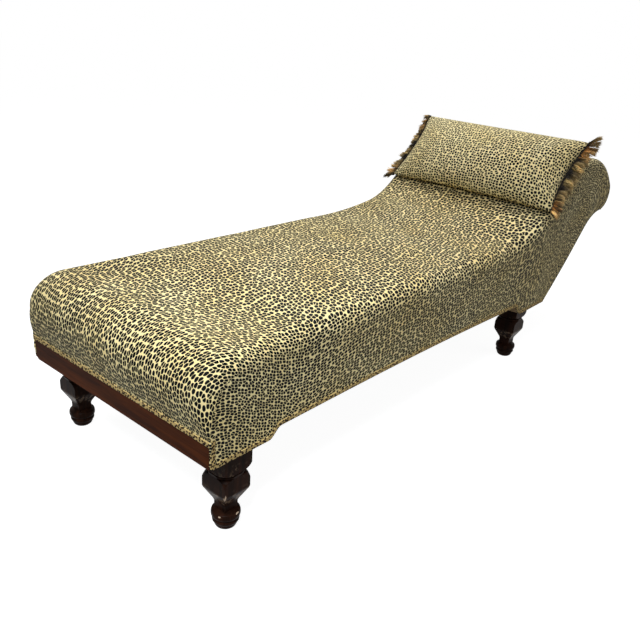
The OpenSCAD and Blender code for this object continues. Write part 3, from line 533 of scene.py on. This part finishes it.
def ramp(tree, value, start, end, first=0.0, last=1.0, kind="SMOOTHSTEP"):
    """Takes a value from start..end to first..last, and holds it there outside."""
    return add_node(tree, "ShaderNodeMapRange",
                    {"Value": value, "From Min": start, "From Max": end, "To Min": first,
                     "To Max": last}, interpolation_type=kind).outputs[0]


def mixed_colour(tree, share, first, second):
    """A colour between two, each of them three numbers or a socket."""
    a, b = (c if isinstance(c, bpy.types.NodeSocket) else (*c, 1) for c in (first, second))
    return add_node(tree, "ShaderNodeMix", {"Factor": share, "A": a, "B": b},
                    data_type="RGBA").outputs["Result"]


def raise_surface(shader, height, strength, distance):
    bump = add_node(shader.id_data, "ShaderNodeBump",
                    {"Height": height, "Strength": strength, "Distance": distance})
    set_sockets(shader, {"Normal": bump.outputs[0]})


# %% Spotted velvet
SPOT_SIZE, SPOT_RANDOM, SPOT_EDGE = (0.0096, 0.0094), 0.70, 0.05
SPOT_BLACK = (0.004, 0.004, 0.005)


def spotted_velvet(name, bend, low, high, gaps):
    """Velvet whose rows wander by bend, on ground colours low to high, with gaps this wide."""
    material, tree, shader = new_material(name)
    cloth = add_node(tree, "ShaderNodeUVMap", uv_map="cloth").outputs[0]
    bent = wandering(tree, cloth, noise_node(tree, cloth, 4.2, 1.0)["Color"], bend)
    frayed = wandering(tree, bent, noise_node(tree, cloth, 210.0, 1.0)["Color"], 0.0018)
    net = scaled_vector(tree, frayed, (1 / SPOT_SIZE[0], 1 / SPOT_SIZE[1], 1))
    to_edge = cell_distance(tree, net, "DISTANCE_TO_EDGE", SPOT_RANDOM)["Distance"]
    to_middle = cell_distance(tree, net, "F1", SPOT_RANDOM)["Distance"]
    rounding = maths(tree, "MULTIPLY_ADD", to_middle, -0.95, 0.54)
    blob = maths(tree, "SMOOTH_MIN", to_edge, rounding, 0.12)
    patch = noise_node(tree, cloth, 11.0, 2.0)["Fac"]
    width = ramp(tree, patch, 0.3, 0.7, *gaps, kind="LINEAR")
    spot = ramp(tree, blob, width, maths(tree, "ADD", width, SPOT_EDGE))
    ground = mixed_colour(tree, noise_node(tree, cloth, 6.0, 3.0)["Fac"], low, high)
    pile = noise_node(tree, cloth, 900.0, 2.0)["Fac"]
    raise_surface(shader, maths(tree, "MULTIPLY_ADD", pile, 0.5, spot), 0.25, 0.0004)
    set_sockets(shader, {
        "Base Color": mixed_colour(tree, spot, ground, SPOT_BLACK), "Roughness": 0.78,
        "Specular IOR Level": 0.06, "Sheen Weight": 0.08, "Sheen Roughness": 0.35,
        "Sheen Tint": (1.0, 0.93, 0.72, 1)})
    return material


velvet = spotted_velvet("spotted_velvet", 0.030, (0.78, 0.58, 0.21), (0.94, 0.84, 0.50),
                        (0.018, 0.042))
print("Velvet nodes:", len(velvet.node_tree.nodes))

# %% Build the cover
CLOTH_THICKNESS = 0.003
cover = grid_piece("velvet_cover", NOSE, ACROSS, locate_cover, velvet)
thicken(cover, CLOTH_THICKNESS)
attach(cover, "chaise")
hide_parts("seat_cover", "head_cover")
print("Cover:", len(cover.data.polygons), "faces")

# %% [markdown]
# The outside back is its own panel, from under the roll down to the heel. It is bent from a grid
# like the cover's, along the last part of the outline.

# %% Outside back
BACK_ROWS, BACK_COLUMNS = len(run) - 1 - NOSE, 28
BACK_WAVES, BACK_WAVE_HEIGHT = 6.0, 1.2


def locate_back(i, j, face_columns=None):
    half = BACK_COLUMNS // 2
    y = HALF_W * (j - half) / half
    q = Vector((run[NOSE + i][0], y, run[NOSE + i][1])) / 1000
    swell = noise.noise(q * BACK_WAVES) * BACK_WAVE_HEIGHT * math.sin(
        math.pi * j / BACK_COLUMNS) * math.sin(math.pi * i / BACK_ROWS)
    p = run[NOSE + i][:2] - inward[NOSE + i] * swell
    return (p[0], y, p[1]), cloth_uv(along[NOSE + i], y)


back = grid_piece("outside_back", BACK_ROWS, BACK_COLUMNS, locate_back, velvet)
thicken(back, CLOTH_THICKNESS)
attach(back, "chaise")
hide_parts("outside_back_cover")
print("Back:", len(back.data.polygons), "faces")


# %% [markdown]
# The pillow is sewn from two panels and stuffed. A hand-made curve looks stiff, so it starts as
# a crowned closed form in its own seam plane, a little smaller than it will be, and the cloth
# simulation blows it up until the cloth strains at the seams and shows small creases there.

# %% The pillow's seam plane
PILLOW_W, PILLOW_H, PILLOW_A = 636.0, 292.0, 46.0
FRONT_T, BACK_T, DRAW, INSET = 74.0, 60.0, 14.0, 5.0
TURN, TILT, ASIDE = math.radians(1.5), math.radians(1.0), -8.0
PILLOW_BACK_BY, PILLOW_UP_BY = 13, 8
pillow_e, pillow_n = polar(PILLOW_A), polar(PILLOW_A + 90)


def rest_z(x, y):
    """Height of the head's face at a point, with its straight slope carried on upwards."""
    crown = (SLIGHT_CROWN + SEAT_CROWN) / 2 * (1 - min(1.0, (y / HALF_W) ** 2))
    if x < slope_0[0]:
        return sweep_c[1] - math.sqrt(SWEEP_R ** 2 - (x - sweep_c[0]) ** 2) + crown
    return slope_0[1] + (x - slope_0[0]) * math.tan(math.radians(HEAD_A)) + crown


low_x = slope_0[0] - PILLOW_BACK_BY
pillow_c = np.array([low_x, rest_z(low_x, 0) + PILLOW_UP_BY]) + pillow_e * PILLOW_H / 2


def settled(x, y, z):
    """A point of the pillow after its slight turn and tilt."""
    dx, dz = x - pillow_c[0], z - pillow_c[1]
    y1 = y * math.cos(TURN) - dx * math.sin(TURN)
    return (pillow_c[0] + dx * math.cos(TURN) + y * math.sin(TURN),
            y1 * math.cos(TILT) - dz * math.sin(TILT) + ASIDE,
            pillow_c[1] + dz * math.cos(TILT) + y1 * math.sin(TILT))


def in_seam_plane(p):
    """Distances of a frame point from the pillow's middle: across, up the seams, and off them."""
    x, y, z = p.x * 1000 + CENTRE, p.y * 1000 - ASIDE, p.z * 1000
    q = np.array([x, z]) - pillow_c
    return y + q[0] * math.sin(TURN), float(q @ pillow_e), float(q @ pillow_n)


print("The pillow's middle:", pillow_c.round(1))

# %% The pillow's form
END_POWER, SIDE_POWER, FULLNESS = 3.2, 2.2, 0.55
SAG, LONG_DRAW, TUCKED_UNDER, OFF_THE_FACE = 0.10, 0.15, 45, 0.5


def pillow_point(u, v, front):
    """Point of a panel, for u across and v up, each from -1 to 1; its fullest part sags."""
    sunk = v + SAG * (1 - v * v)
    full = 0.0
    if abs(u) < 1 and abs(v) < 1:
        full = ((1 - abs(u) ** END_POWER) * (1 - abs(sunk) ** SIDE_POWER)) ** FULLNESS
    y = u * (PILLOW_W / 2 - INSET - DRAW * (1 - v * v))
    s = v * (PILLOW_H / 2 - INSET - DRAW * LONG_DRAW * (1 - u * u))
    if front and v < 0:
        s += TUCKED_UNDER * full * v ** 3
    off = (FRONT_T - INSET if front else INSET - BACK_T) * full
    p = pillow_c + s * pillow_e + off * pillow_n
    q = settled(p[0], y, p[1])
    return q if front else (q[0], q[1], max(q[2], rest_z(q[0], q[1]) + OFF_THE_FACE + INSET))


def pillow_form():
    bm = bmesh.new()
    bmesh.ops.create_grid(bm, x_segments=36, y_segments=22, size=1)
    spots = {v: (v.co.x, v.co.y) for v in bm.verts}
    twin = bmesh.ops.duplicate(bm, geom=bm.verts[:] + bm.edges[:] + bm.faces[:])["vert_map"]
    for v, spot in spots.items():
        u, w = (math.sin(math.pi / 2 * t) for t in spot)
        v.co = place(*pillow_point(u, w, True))
        twin[v].co = place(*pillow_point(u, w, False))
    bmesh.ops.remove_doubles(bm, verts=bm.verts[:], dist=1e-5)
    face_outwards(bm)
    return mesh_piece(bm, "pillow_velvet")


pillow = pillow_form()
print("The pillow's first form:", len(pillow.data.polygons), "faces")

# %% Blow the pillow up as cloth
VOXEL, MOST_MOVE, FRAMES = 0.006, 0.009, 20
SEAM_WIDTH, SEAM_DEPTH = 14, 12


def apply_modifiers(piece):
    graph = bpy.context.evaluated_depsgraph_get()
    mesh = bpy.data.meshes.new_from_object(piece.evaluated_get(graph))
    piece.modifiers.clear()
    old, piece.data = piece.data, mesh
    bpy.data.meshes.remove(old)
    mesh.name = piece.name


def stuffed(piece):
    """Remeshes a closed form and inflates it as cloth, each point by MOST_MOVE at most."""
    remesh = piece.modifiers.new("even", "REMESH")
    remesh.mode, remesh.voxel_size, remesh.use_smooth_shade = "VOXEL", VOXEL, True
    apply_modifiers(piece)
    start = np.array([v.co for v in piece.data.vertices])
    seam = piece.vertex_groups.new(name="seam")
    for v in piece.data.vertices:
        across, up, off = in_seam_plane(v.co)
        near = min(PILLOW_W / 2 - abs(across), PILLOW_H / 2 - abs(up))
        if near < SEAM_WIDTH and abs(off) < SEAM_DEPTH:
            seam.add([v.index], 1.0, "REPLACE")
    settings = piece.modifiers.new("cloth", "CLOTH").settings
    settings.use_pressure = True
    settings.uniform_pressure_force = 4.0
    settings.tension_stiffness = 14
    settings.bending_stiffness = 0.4
    settings.vertex_group_mass = "seam"
    settings.effector_weights.gravity = 0.0
    for number in range(1, FRAMES + 1):
        bpy.context.scene.frame_set(number)
    graph = bpy.context.evaluated_depsgraph_get()
    moved = np.array([v.co for v in piece.evaluated_get(graph).data.vertices])
    piece.modifiers.clear()
    step = moved - start
    length = np.linalg.norm(step, axis=1)
    step *= np.minimum(1, MOST_MOVE / np.maximum(length, 1e-9))[:, None]
    for v, co in zip(piece.data.vertices, start + step):
        v.co = co
    bpy.context.scene.frame_set(1)
    return float(length.max())


print("The pillow's cloth moved at most", round(stuffed(pillow), 4))

# %% Draw out the pillow's corners
CORNER_AT = (306, 140)
END_PULL, CORNER_PULL, UPWARD_PULL = 2.5, 9, 7


def pull_corners(piece):
    """Draws the ends and corners out a little, where the fringe and the seams hold the cloth."""
    for v in piece.data.vertices:
        a, s, off = in_seam_plane(v.co)
        u, w = min(1, abs(a) / CORNER_AT[0]), min(1, abs(s) / CORNER_AT[1])
        y_step = math.copysign((END_PULL + CORNER_PULL * w ** 2) * u ** 6, a)
        s_step = math.copysign(UPWARD_PULL * u ** 4 * w ** 4, s)
        v.co += Vector((s_step * pillow_e[0], y_step, s_step * pillow_e[1])) / 1000


pull_corners(pillow)
print("The corners are drawn out by up to", END_PULL + CORNER_PULL, "mm")

# %% Lay the print on the pillow and finish it
OVER_BULGE, PRINT_POWER, PRINT_UP, PRINT_ACROSS = 0.8, 2.4, 0.84, 0.90
FACE_GAP = 1.0


def pillow_uv(p, sign):
    """Distances from the panel's middle, measured over its bulge towards each seam."""
    a, s, off = in_seam_plane(p)
    full = FRONT_T if sign > 0 else BACK_T
    u = min(1.0, abs(a) / (PILLOW_W / 2 - DRAW * 0.6))
    v = min(1.0, abs(s) / (PILLOW_H / 2 - DRAW * 0.5))
    wide, tall = 1 - u ** END_POWER, 1 - v ** PRINT_POWER
    over_s = abs(s) + OVER_BULGE * max(0.0, full * wide - abs(off))
    over_a = abs(a) + OVER_BULGE * max(0.0, full * tall - abs(off))
    return (3 + sign + PRINT_UP * math.copysign(over_s, s) / 1000,
            1 + PRINT_ACROSS * math.copysign(over_a, a) / 1000)


def finish_pillow(piece):
    """Lifts the pillow clear of the head's face and gives each panel its cloth coordinates."""
    bm = bmesh.new()
    bm.from_mesh(piece.data)
    for v in bm.verts:
        x, y, z = v.co.x * 1000 + CENTRE, v.co.y * 1000, v.co.z * 1000
        lowest = rest_z(x, y) + FACE_GAP
        if z < lowest and abs(y) < HALF_W:
            v.co.z += (lowest - z) / 1000
    layer = bm.loops.layers.uv.new("cloth")
    bm.normal_update()
    for face in bm.faces:
        face.smooth = True
        sign = 1 if in_seam_plane(face.calc_center_median())[2] > 0 else -1
        for loop in face.loops:
            loop[layer].uv = pillow_uv(loop.vert.co, sign)
    bm.to_mesh(piece.data)
    bm.free()


finish_pillow(pillow)
smooth = pillow.modifiers.new("round", "SUBSURF")
smooth.levels = smooth.render_levels = 1
# The pillow's velvet is a paler copy with wider gaps between its spots: partly the pillow's own
# finer print, partly painted light that lifts it above the head's face.
pillow.data.materials.append(spotted_velvet("spotted_velvet_pillow", 0.020, (0.80, 0.61, 0.24),
                                            (0.95, 0.87, 0.54), (0.062, 0.090)))
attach(pillow, "pillow")
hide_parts("pillow_front", "pillow_back", "pillow_filling")
print("Pillow:", len(pillow.data.polygons), "faces")

# %% [markdown]
# A brush fringe closes each end of the pillow: yarn that stands out in bands of black, gold and
# rust. Hair particles would be lost when the model is exported, so each strand is a thin
# three-sided cone. Its colour is kept as an attribute on its points, from its dark root to its
# pale tip. The strands come in tufts, which share a length, a lean and a colour; strands at a
# tuft's edges get painted shade, as if in the gaps between tufts.

# %% Fringe colours along the seam
GOLD, BROWN, RUST = (0.62, 0.45, 0.18), (0.55, 0.38, 0.15), (0.60, 0.26, 0.06)
BLACK, SOOT = (0.020, 0.016, 0.014), (0.030, 0.022, 0.016)
BANDS = [(-1.0, (0.70, 0.45, 0.16)), (-0.90, RUST), (-0.72, RUST), (-0.62, BROWN),
         (-0.44, BLACK), (-0.30, BLACK), (-0.24, GOLD), (-0.06, GOLD), (0.0, BLACK), (0.14, BLACK),
         (0.20, GOLD), (0.32, BROWN), (0.38, SOOT), (0.48, SOOT), (0.56, (0.62, 0.30, 0.08)),
         (0.84, (0.55, 0.24, 0.06)), (0.92, (0.06, 0.04, 0.03)), (1.0, (0.60, 0.40, 0.16))]
TIP = np.array((0.95, 0.70, 0.33))
ROOT = np.array((0.006, 0.005, 0.005))
FAR_TAN, FAR_SHARE = np.array((0.62, 0.47, 0.22)), 0.55


def band_colour(v):
    stops = [b[0] for b in BANDS]
    return np.array([np.interp(v, stops, [b[1][c] for b in BANDS]) for c in range(3)])


def heading_point(v, out, side, off):
    """Point beside the pillow's end seam, out from it and off the seams' plane."""
    p = pillow_c + (v * PILLOW_H / 2) * pillow_e + off * pillow_n
    return p[0], side * (PILLOW_W / 2 - DRAW * (1 - v * v) + out), p[1]


print("Colour bands:", len(BANDS) - 1)

# %% One strand of the fringe
PLANE_E = Vector((pillow_e[0], 0, pillow_e[1]))
PLANE_N = Vector((pillow_n[0], 0, pillow_n[1]))
PROFILE = ((0.0, 1.0), (0.3, 1.1), (0.6, 1.0), (0.85, 0.8), (1.0, 0.35))
CORNERS = [2 * math.pi * q / 3 for q in range(3)]
ROOT_REACH, PALE_FROM, PALE_RISE = 0.28, 0.45, 1.6


def make_strand(bm, layer, root, bend, tip, tone, thick, light, tip_share):
    """A strand as a three-sided cone along a curve from its root over its bend to its tip."""
    before = None
    for t, width in PROFILE:
        centre = root * (1 - t) ** 2 + bend * 2 * t * (1 - t) + tip * t * t
        pale = min(tip_share, PALE_RISE * max(0, t - PALE_FROM))
        body = tone * (1 - pale) + TIP * pale
        deep = max(0.0, 1 - t / ROOT_REACH)
        # light scales the colour; part of it is the painted shade at a tuft's edges.
        colour = (*((body * (1 - deep) + ROOT * deep) * light), 1.0)
        ring = []
        for a in CORNERS:
            p = centre + (PLANE_E * math.cos(a) + PLANE_N * math.sin(a)) * thick * width
            ring.append(bm.verts.new(place(*settled(*p))))
            ring[-1][layer] = colour
        if before:
            for q in range(3):
                bm.faces.new((before[q], before[(q + 1) % 3], ring[(q + 1) % 3], ring[q]))
        else:
            bm.faces.new(ring[::-1])
        before = ring
    bm.faces.new(before)


# %% Build the fringes, tuft by tuft
TUFTS, PER_TUFT, LENGTH = 56, 44, 44.0
LOWER_LEAN, DOWN_TO_UP = 20, -20
UPPER_TUFTS = {-1: (46, 16, 0.25), 1: (6, 2, 0.0)}


def make_fringe(side, name):
    """Tufts along the seam; UPPER_TUFTS says how those at the top lean, rise and shorten."""
    dice = random.Random(11 if side < 0 else 12)
    upper_lean, upper_rise, shorter = UPPER_TUFTS[side]
    bm = bmesh.new()
    layer = bm.verts.layers.float_color.new("yarn")
    for k in range(TUFTS):
        v_mid = 2 * (k + 0.5) / TUFTS - 1
        corner = v_mid ** 5
        reach = LENGTH * dice.uniform(0.66, 1.0) * (0.88 + 0.12 * abs(corner))
        lean = (upper_lean if corner > 0 else LOWER_LEAN) * corner + dice.uniform(-6, 6)
        reach *= 1 - shorter * max(0, corner)
        rise = DOWN_TO_UP * (1 + v_mid) / 2 + upper_rise * max(0, corner) + dice.uniform(-9, 9)
        tone_v = v_mid + dice.uniform(-0.06, 0.06)
        tuft_light = dice.choice((0.22, 0.6, 1.0, 1.3, 1.6))
        curl = dice.uniform(-6, 6)
        tip_share = dice.uniform(0.35, 0.8)
        for _ in range(PER_TUFT):
            where = dice.uniform(-1, 1)
            off = dice.uniform(-3.5, 3.5)
            root_v = v_mid + 1.1 * where / TUFTS
            root = Vector(heading_point(root_v, dice.uniform(1.0, 5.0), side, off))
            long = min(reach * dice.uniform(0.82, 1.06), LENGTH)
            tip = Vector(heading_point(v_mid, 3.0, side, 0))
            tip += PLANE_E * (lean + 1.5 * where + dice.gauss(0, 2.6))
            tip += PLANE_N * (rise + dice.gauss(0, 4.0)) + Vector((0, side * long, -4.0))
            bend = root.lerp(tip, 0.5) + PLANE_N * dice.uniform(2, 11)
            bend += PLANE_E * (curl + 2 * where + dice.uniform(-4, 4))
            tone = band_colour(max(-1, min(1, tone_v + dice.uniform(-0.02, 0.02))))
            if side > 0:
                tone = tone * (1 - FAR_SHARE) + FAR_TAN * FAR_SHARE * (tone.sum() > 0.2)
            # Painted shade: strands at a tuft's edges are darkened and those in its middle
            # lightened, as if shade fell in the gaps between tufts.
            painted_gap_shade = 1.2 - 0.75 * abs(where) ** 1.5
            make_strand(bm, layer, root, bend, tip, tone, dice.uniform(0.5, 0.9),
                        tuft_light * painted_gap_shade * dice.uniform(0.5, 1.4), tip_share)
    face_outwards(bm)
    return mesh_piece(bm, name, yarn)


yarn, tree, shader = new_material("brush_fringe")
tone = add_node(tree, "ShaderNodeAttribute", attribute_name="yarn").outputs["Color"]
set_sockets(shader, {"Base Color": tone, "Roughness": 0.65, "Specular IOR Level": 0.2})
for side, name in ((-1, "fringe_right"), (1, "fringe_left")):
    piece = make_fringe(side, name + "_strands")
    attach(piece, "pillow")
    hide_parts(name)
    print("Fringe:", piece.name, TUFTS * PER_TUFT, "strands,", len(piece.data.polygons), "faces")

# %% [markdown]
# The fringe's heading is a dark woven tape that covers the end seam. A circle is extruded along
# the seam, ring by ring, which keeps the tape one closed tube that can ripple at its outer side.

# %% Headings
TAPE_WIDE, TAPE_THICK, TAPE_OUT, TAPE_RIPPLE, TAPE_WAVES = 4.5, 3.8, 2.0, 0.5, 260
tape_dark, tree, shader = new_material("fringe_heading")
set_sockets(shader, {"Base Color": (0.012, 0.009, 0.007, 1), "Roughness": 0.9,
                     "Specular IOR Level": 0.1})


def make_heading(side, name):
    bm = bmesh.new()
    bmesh.ops.create_circle(bm, segments=8, radius=1.0)
    stations = np.linspace(-1, 1, 61)
    offsets = [(TAPE_WIDE * v.co.x, TAPE_THICK * v.co.y) for v in bm.verts]
    rings, edges = [bm.verts[:]], bm.edges[:]
    for v in stations[1:]:
        made = bmesh.ops.extrude_edge_only(bm, edges=edges)["geom"]
        edges = [g for g in made if isinstance(g, bmesh.types.BMEdge)
                 and all(q not in rings[-1] for q in g.verts)]
        fresh = {q for e in edges for q in e.verts}
        rings.append([next(e.other_vert(old) for e in old.link_edges if e.other_vert(old) in fresh)
                      for old in rings[-1]])
    for v, verts in zip(stations, rings):
        for vert, (a, b) in zip(verts, offsets):
            ripple = TAPE_RIPPLE * math.sin(v * TAPE_WAVES)
            out = TAPE_OUT + a + ripple * (a > 0)
            vert.co = place(*settled(*heading_point(v, out, side, b)))
    bmesh.ops.holes_fill(bm, edges=bm.edges[:])
    face_outwards(bm)
    piece = mesh_piece(bm, name, tape_dark)
    smooth_to(piece.data, 60)
    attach(piece, "pillow")
    return piece


for side, name in ((-1, "fringe_heading_right"), (1, "fringe_heading_left")):
    print("Heading:", len(make_heading(side, name).data.polygons), "faces")

# %% [markdown]
# A narrow braid covers the tacks along the lower edges. Painted on the cloth it would look flat
# from the side, so it is a strip of its own with a raised, rippled middle, laid along its path.
# Its colour is dark dots on gold, again from a Voronoi texture.

# %% Braid material
DOT_SIZE = (0.0080, 0.0070)
braid, tree, shader = new_material("braid")
cloth = add_node(tree, "ShaderNodeUVMap", uv_map="cloth").outputs[0]
dots = cell_distance(tree, scaled_vector(tree, cloth, (1 / DOT_SIZE[0], 1 / DOT_SIZE[1], 1)),
                     "F1", 0.75)
dot = ramp(tree, dots["Distance"], 0.30, 0.42, 1.0, 0.0)
gold = mixed_colour(tree, noise_node(tree, cloth, 38.0, 2.0)["Fac"], (0.46, 0.31, 0.10),
                    (0.80, 0.60, 0.26))
dark = mixed_colour(tree, dots["Color"], (0.045, 0.018, 0.008), (0.008, 0.006, 0.005))
twist = add_node(tree, "ShaderNodeTexWave", {"Vector": cloth, "Scale": 150.0, "Distortion": 1.0},
                 wave_type="BANDS", bands_direction="DIAGONAL").outputs["Fac"]
raise_surface(shader, twist, 0.6, 0.0006)
set_sockets(shader, {"Base Color": mixed_colour(tree, dot, gold, dark), "Roughness": 0.8,
                     "Specular IOR Level": 0.08, "Sheen Weight": 0.05})
print("Braid nodes:", len(tree.nodes))

# %% Braid strips
BRAID_W, BRAID_T, BRAID_STEP, BRAID_BACK = 12.0, 2.5, 2.4, 0.0004
SECTION = [(0.0, 0.2), (0.06, 0.8), (0.22, 0.9), (0.36, 0.62), (0.5, 0.95), (0.64, 0.62),
           (0.78, 0.9), (0.94, 0.8), (1.0, 0.2)]
RIPPLE, RIPPLE_LENGTH, EDGE_RIPPLE, EDGE_LENGTH = 0.16, 6.4, 0.5, 4.8


def evenly(points, pitch):
    points = np.array(points, float)
    lengths = np.concatenate([[0], np.cumsum(np.linalg.norm(np.diff(points, axis=0), axis=1))])
    at = np.linspace(0, lengths[-1], max(2, round(lengths[-1] / pitch)) + 1)
    return np.stack([np.interp(at, lengths, points[:, k]) for k in range(3)], axis=1), at


def braid_strip(name, path, across, out, node):
    """A strip with its outer edge on path; across points to its inner edge, out to its face."""
    spine, at = evenly(path, BRAID_STEP)
    ways = [np.array(across(k, spine)) for k in range(len(spine))]
    last = len(SECTION) - 1

    def locate(i, j, face_columns=None):
        s, h = SECTION[j]
        ripple = 1 + RIPPLE * math.sin(at[i] * 2 * math.pi / RIPPLE_LENGTH + (j % 2) * math.pi)
        wave = EDGE_RIPPLE * math.sin(at[i] * 2 * math.pi / EDGE_LENGTH) if j in (0, last) else 0.0
        p = spine[i] + ways[i] * (s * BRAID_W + wave * (1 if j == 0 else -1))
        p = p + np.array(out) * BRAID_T * h * ripple
        return tuple(p), (at[i] / 1000, s * BRAID_W / 1000)

    piece = grid_piece(name, len(spine) - 1, last, locate, braid)
    bm = bmesh.new()
    bm.from_mesh(piece.data)
    if sum((f.normal for f in bm.faces), Vector()).dot(Vector(out)) < 0:
        bmesh.ops.reverse_faces(bm, faces=bm.faces[:])
    bmesh.ops.solidify(bm, geom=bm.faces[:], thickness=BRAID_BACK)
    face_outwards(bm)
    bm.to_mesh(piece.data)
    bm.free()
    smooth_to(piece.data, 60)
    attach(piece, "chaise")
    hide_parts(node)
    print("Braid:", piece.name, len(piece.data.polygons), "faces")


def side_across(k, spine):
    a, b = spine[max(k - 3, 0)], spine[min(k + 3, len(spine) - 1)]
    t = (b - a) / np.linalg.norm(b - a)
    return (-t[2], 0.0, t[0])


for side, name in ((-1, "gimp_right"), (1, "gimp_left")):
    path = [(0, side * HALF_W, FRONT_Z)] + [(x, side * HALF_W, z) for x, z in LOW]
    braid_strip("braid_" + name[5:], path, side_across, (0, side, 0), name)
foot_path = [(0, -HALF_W, FOOT_TOP_Z), (0, HALF_W, FOOT_TOP_Z)]
braid_strip("braid_foot", foot_path, lambda k, spine: (0, 0, 1), (-1, 0, 0), "gimp_foot")

# %% [markdown]
# The wood that shows is dark mahogany under a satin polish. The imported model's own solids have the
# right shape, so they only get a finish. A photograph of wood would need unwrapping, and noise
# doesn't: pulled out along the board, along Y on the rail and along Z on the legs, it is grain.
# The legs' edges are paler, partly rubbed and partly a painted highlight, and small pale
# patches are partly chips of bare wood and partly painted glints.

# %% Wood finishes
def object_place(tree):
    return add_node(tree, "ShaderNodeTexCoord").outputs["Object"]


def chip_and_glint(tree, where, reach, colour):
    """Lays a small pale patch over a colour, around one point given in metres: a chip of bare wood
    or a painted glint.
    """
    at = object_place(tree)
    apart = vector_maths(tree, "DIVIDE", vector_maths(tree, "SUBTRACT", at, where), reach)
    length = add_node(tree, "ShaderNodeVectorMath", {0: apart}, operation="LENGTH").outputs["Value"]
    ragged = maths(tree, "ADD", length, noise_node(tree, at, 260.0, 2.0)["Fac"])
    mask = ramp(tree, ragged, 1.25, 1.45, 1.0, 0.0)
    return mixed_colour(tree, mask, colour, (0.60, 0.44, 0.31))


def worn_and_highlit_edges(tree, at, wear_and_highlight, colour):
    """Pales a colour along the edges, in patches: partly wear, partly a painted highlight."""
    pointed = add_node(tree, "ShaderNodeNewGeometry").outputs["Pointiness"]
    patches = ramp(tree, noise_node(tree, at, 90.0, 3.0)["Fac"], 0.50, 0.62)
    worn_and_lit = maths(tree, "MULTIPLY", ramp(tree, pointed, 0.56, 0.66), patches)
    return mixed_colour(tree, maths(tree, "MULTIPLY", worn_and_lit, wear_and_highlight), colour, (0.42, 0.29, 0.19))


def wood(name, dark, light, stretch, roughness, wear_and_highlight=0.0, chips_and_glints=()):
    material, tree, shader = new_material(name)
    at = object_place(tree)
    grain = add_node(tree, "ShaderNodeTexNoise", {
        "Vector": scaled_vector(tree, at, stretch), "Scale": 1.0, "Detail": 6.0,
        "Roughness": 0.62, "Distortion": 0.6}).outputs["Fac"]
    colour = mixed_colour(tree, ramp(tree, grain, 0.34, 0.68, kind="LINEAR"), dark, light)
    # Paler edges: partly wear, partly a painted highlight.
    if wear_and_highlight:
        colour = worn_and_highlit_edges(tree, at, wear_and_highlight, colour)
    for where, reach in chips_and_glints:
        colour = chip_and_glint(tree, where, reach, colour)
    raise_surface(shader, grain, 0.12, 0.0005)
    set_sockets(shader, {"Base Color": colour, "Roughness": roughness, "Specular IOR Level": 0.02})
    return material


# Pale patches on the near leg: partly chips of bare wood, partly painted glints.
CHIPS_AND_GLINTS = [((-0.9232, -0.3160, 0.099), (0.0028, 0.0028, 0.014)),
         ((-0.9190, -0.2945, 0.040), (0.0035, 0.0035, 0.0020)),
         ((-0.8850, -0.3115, 0.042), (0.0060, 0.0040, 0.0020))]
rail_wood = wood("mahogany_rail", (0.022, 0.0055, 0.0020), (0.082, 0.020, 0.0045), (55, 5, 70), 0.5)
leg_wood = wood("mahogany_leg", (0.006, 0.003, 0.002), (0.030, 0.011, 0.006), (60, 60, 7), 0.34,
                0.6, CHIPS_AND_GLINTS)
beech = wood("beech", (0.42, 0.27, 0.14), (0.60, 0.43, 0.25), (6, 50, 50), 0.65)
print("Woods:", rail_wood.name, leg_wood.name, beech.name)

# %% [markdown]
# What is under the covers shows only from below or through a gap, but it gets its own finish too:
# steel for springs and screws, woven jute and hessian, fibre, and black lining cloth.
# They differ in a few numbers only, so one function makes them all.

# %% Plain finishes
def plain(name, colour, second, scale, roughness, metallic=0.0, weave=0.0):
    material, tree, shader = new_material(name)
    at = object_place(tree)
    mottle = noise_node(tree, at, scale, 4.0)["Fac"]
    height = mottle
    if weave:
        height = maths(tree, "MULTIPLY", *(
            add_node(tree, "ShaderNodeTexWave", {"Vector": at, "Scale": weave}, wave_type="BANDS",
                     bands_direction=way).outputs["Fac"] for way in "XY"))
    raise_surface(shader, height, 0.4, 0.0008)
    set_sockets(shader, {"Base Color": mixed_colour(tree, mottle, colour, second),
                         "Roughness": roughness, "Metallic": metallic})
    return material


steel = plain("spring_steel", (0.35, 0.33, 0.31), (0.22, 0.19, 0.16), 60, 0.45, 1.0)
jute = plain("jute", (0.40, 0.28, 0.15), (0.52, 0.39, 0.22), 220, 0.9, weave=180)
hessian = plain("hessian", (0.38, 0.27, 0.14), (0.50, 0.37, 0.20), 300, 0.95, weave=260)
stuffing = plain("stuffing", (0.55, 0.50, 0.40), (0.70, 0.66, 0.55), 90, 0.95)
cambric = plain("black_cambric", (0.010, 0.010, 0.011), (0.020, 0.019, 0.019), 180, 0.9, weave=320)
FINISHES = {
    "foot_rail": rail_wood, "leg_": leg_wood, "spring": steel, "screws": steel, "webbing": jute,
    "hessian": hessian, "_pad": stuffing, "filling": stuffing, "dust_cover": cambric,
    "lining": cambric,
}
for name, node in nodes.items():
    finish = next((m for key, m in FINISHES.items() if key in name), beech)
    node.data.materials.clear()
    node.data.materials.append(finish)
print("Finished nodes:", len(nodes))

# %% [markdown]
# The two stuffings are soft, so each gets a piece of its own. Their forms are right as they are,
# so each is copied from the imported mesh, whose loose triangles are merged into smooth faces.

# %% Stuffing under the cover
for name in ("seat_pad", "head_pad"):
    bm = bmesh.new()
    bm.from_mesh(nodes[name].data)
    bmesh.ops.remove_doubles(bm, verts=bm.verts[:], dist=1e-5)
    bmesh.ops.join_triangles(bm, faces=bm.faces[:], angle_face_threshold=0.6,
                             angle_shape_threshold=0.8)
    piece = mesh_piece(bm, name + "_fibre", stuffing)
    smooth_to(piece.data, 40)
    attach(piece, "chaise")
    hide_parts(name)
    print("Stuffing:", piece.name, len(piece.data.polygons), "faces")
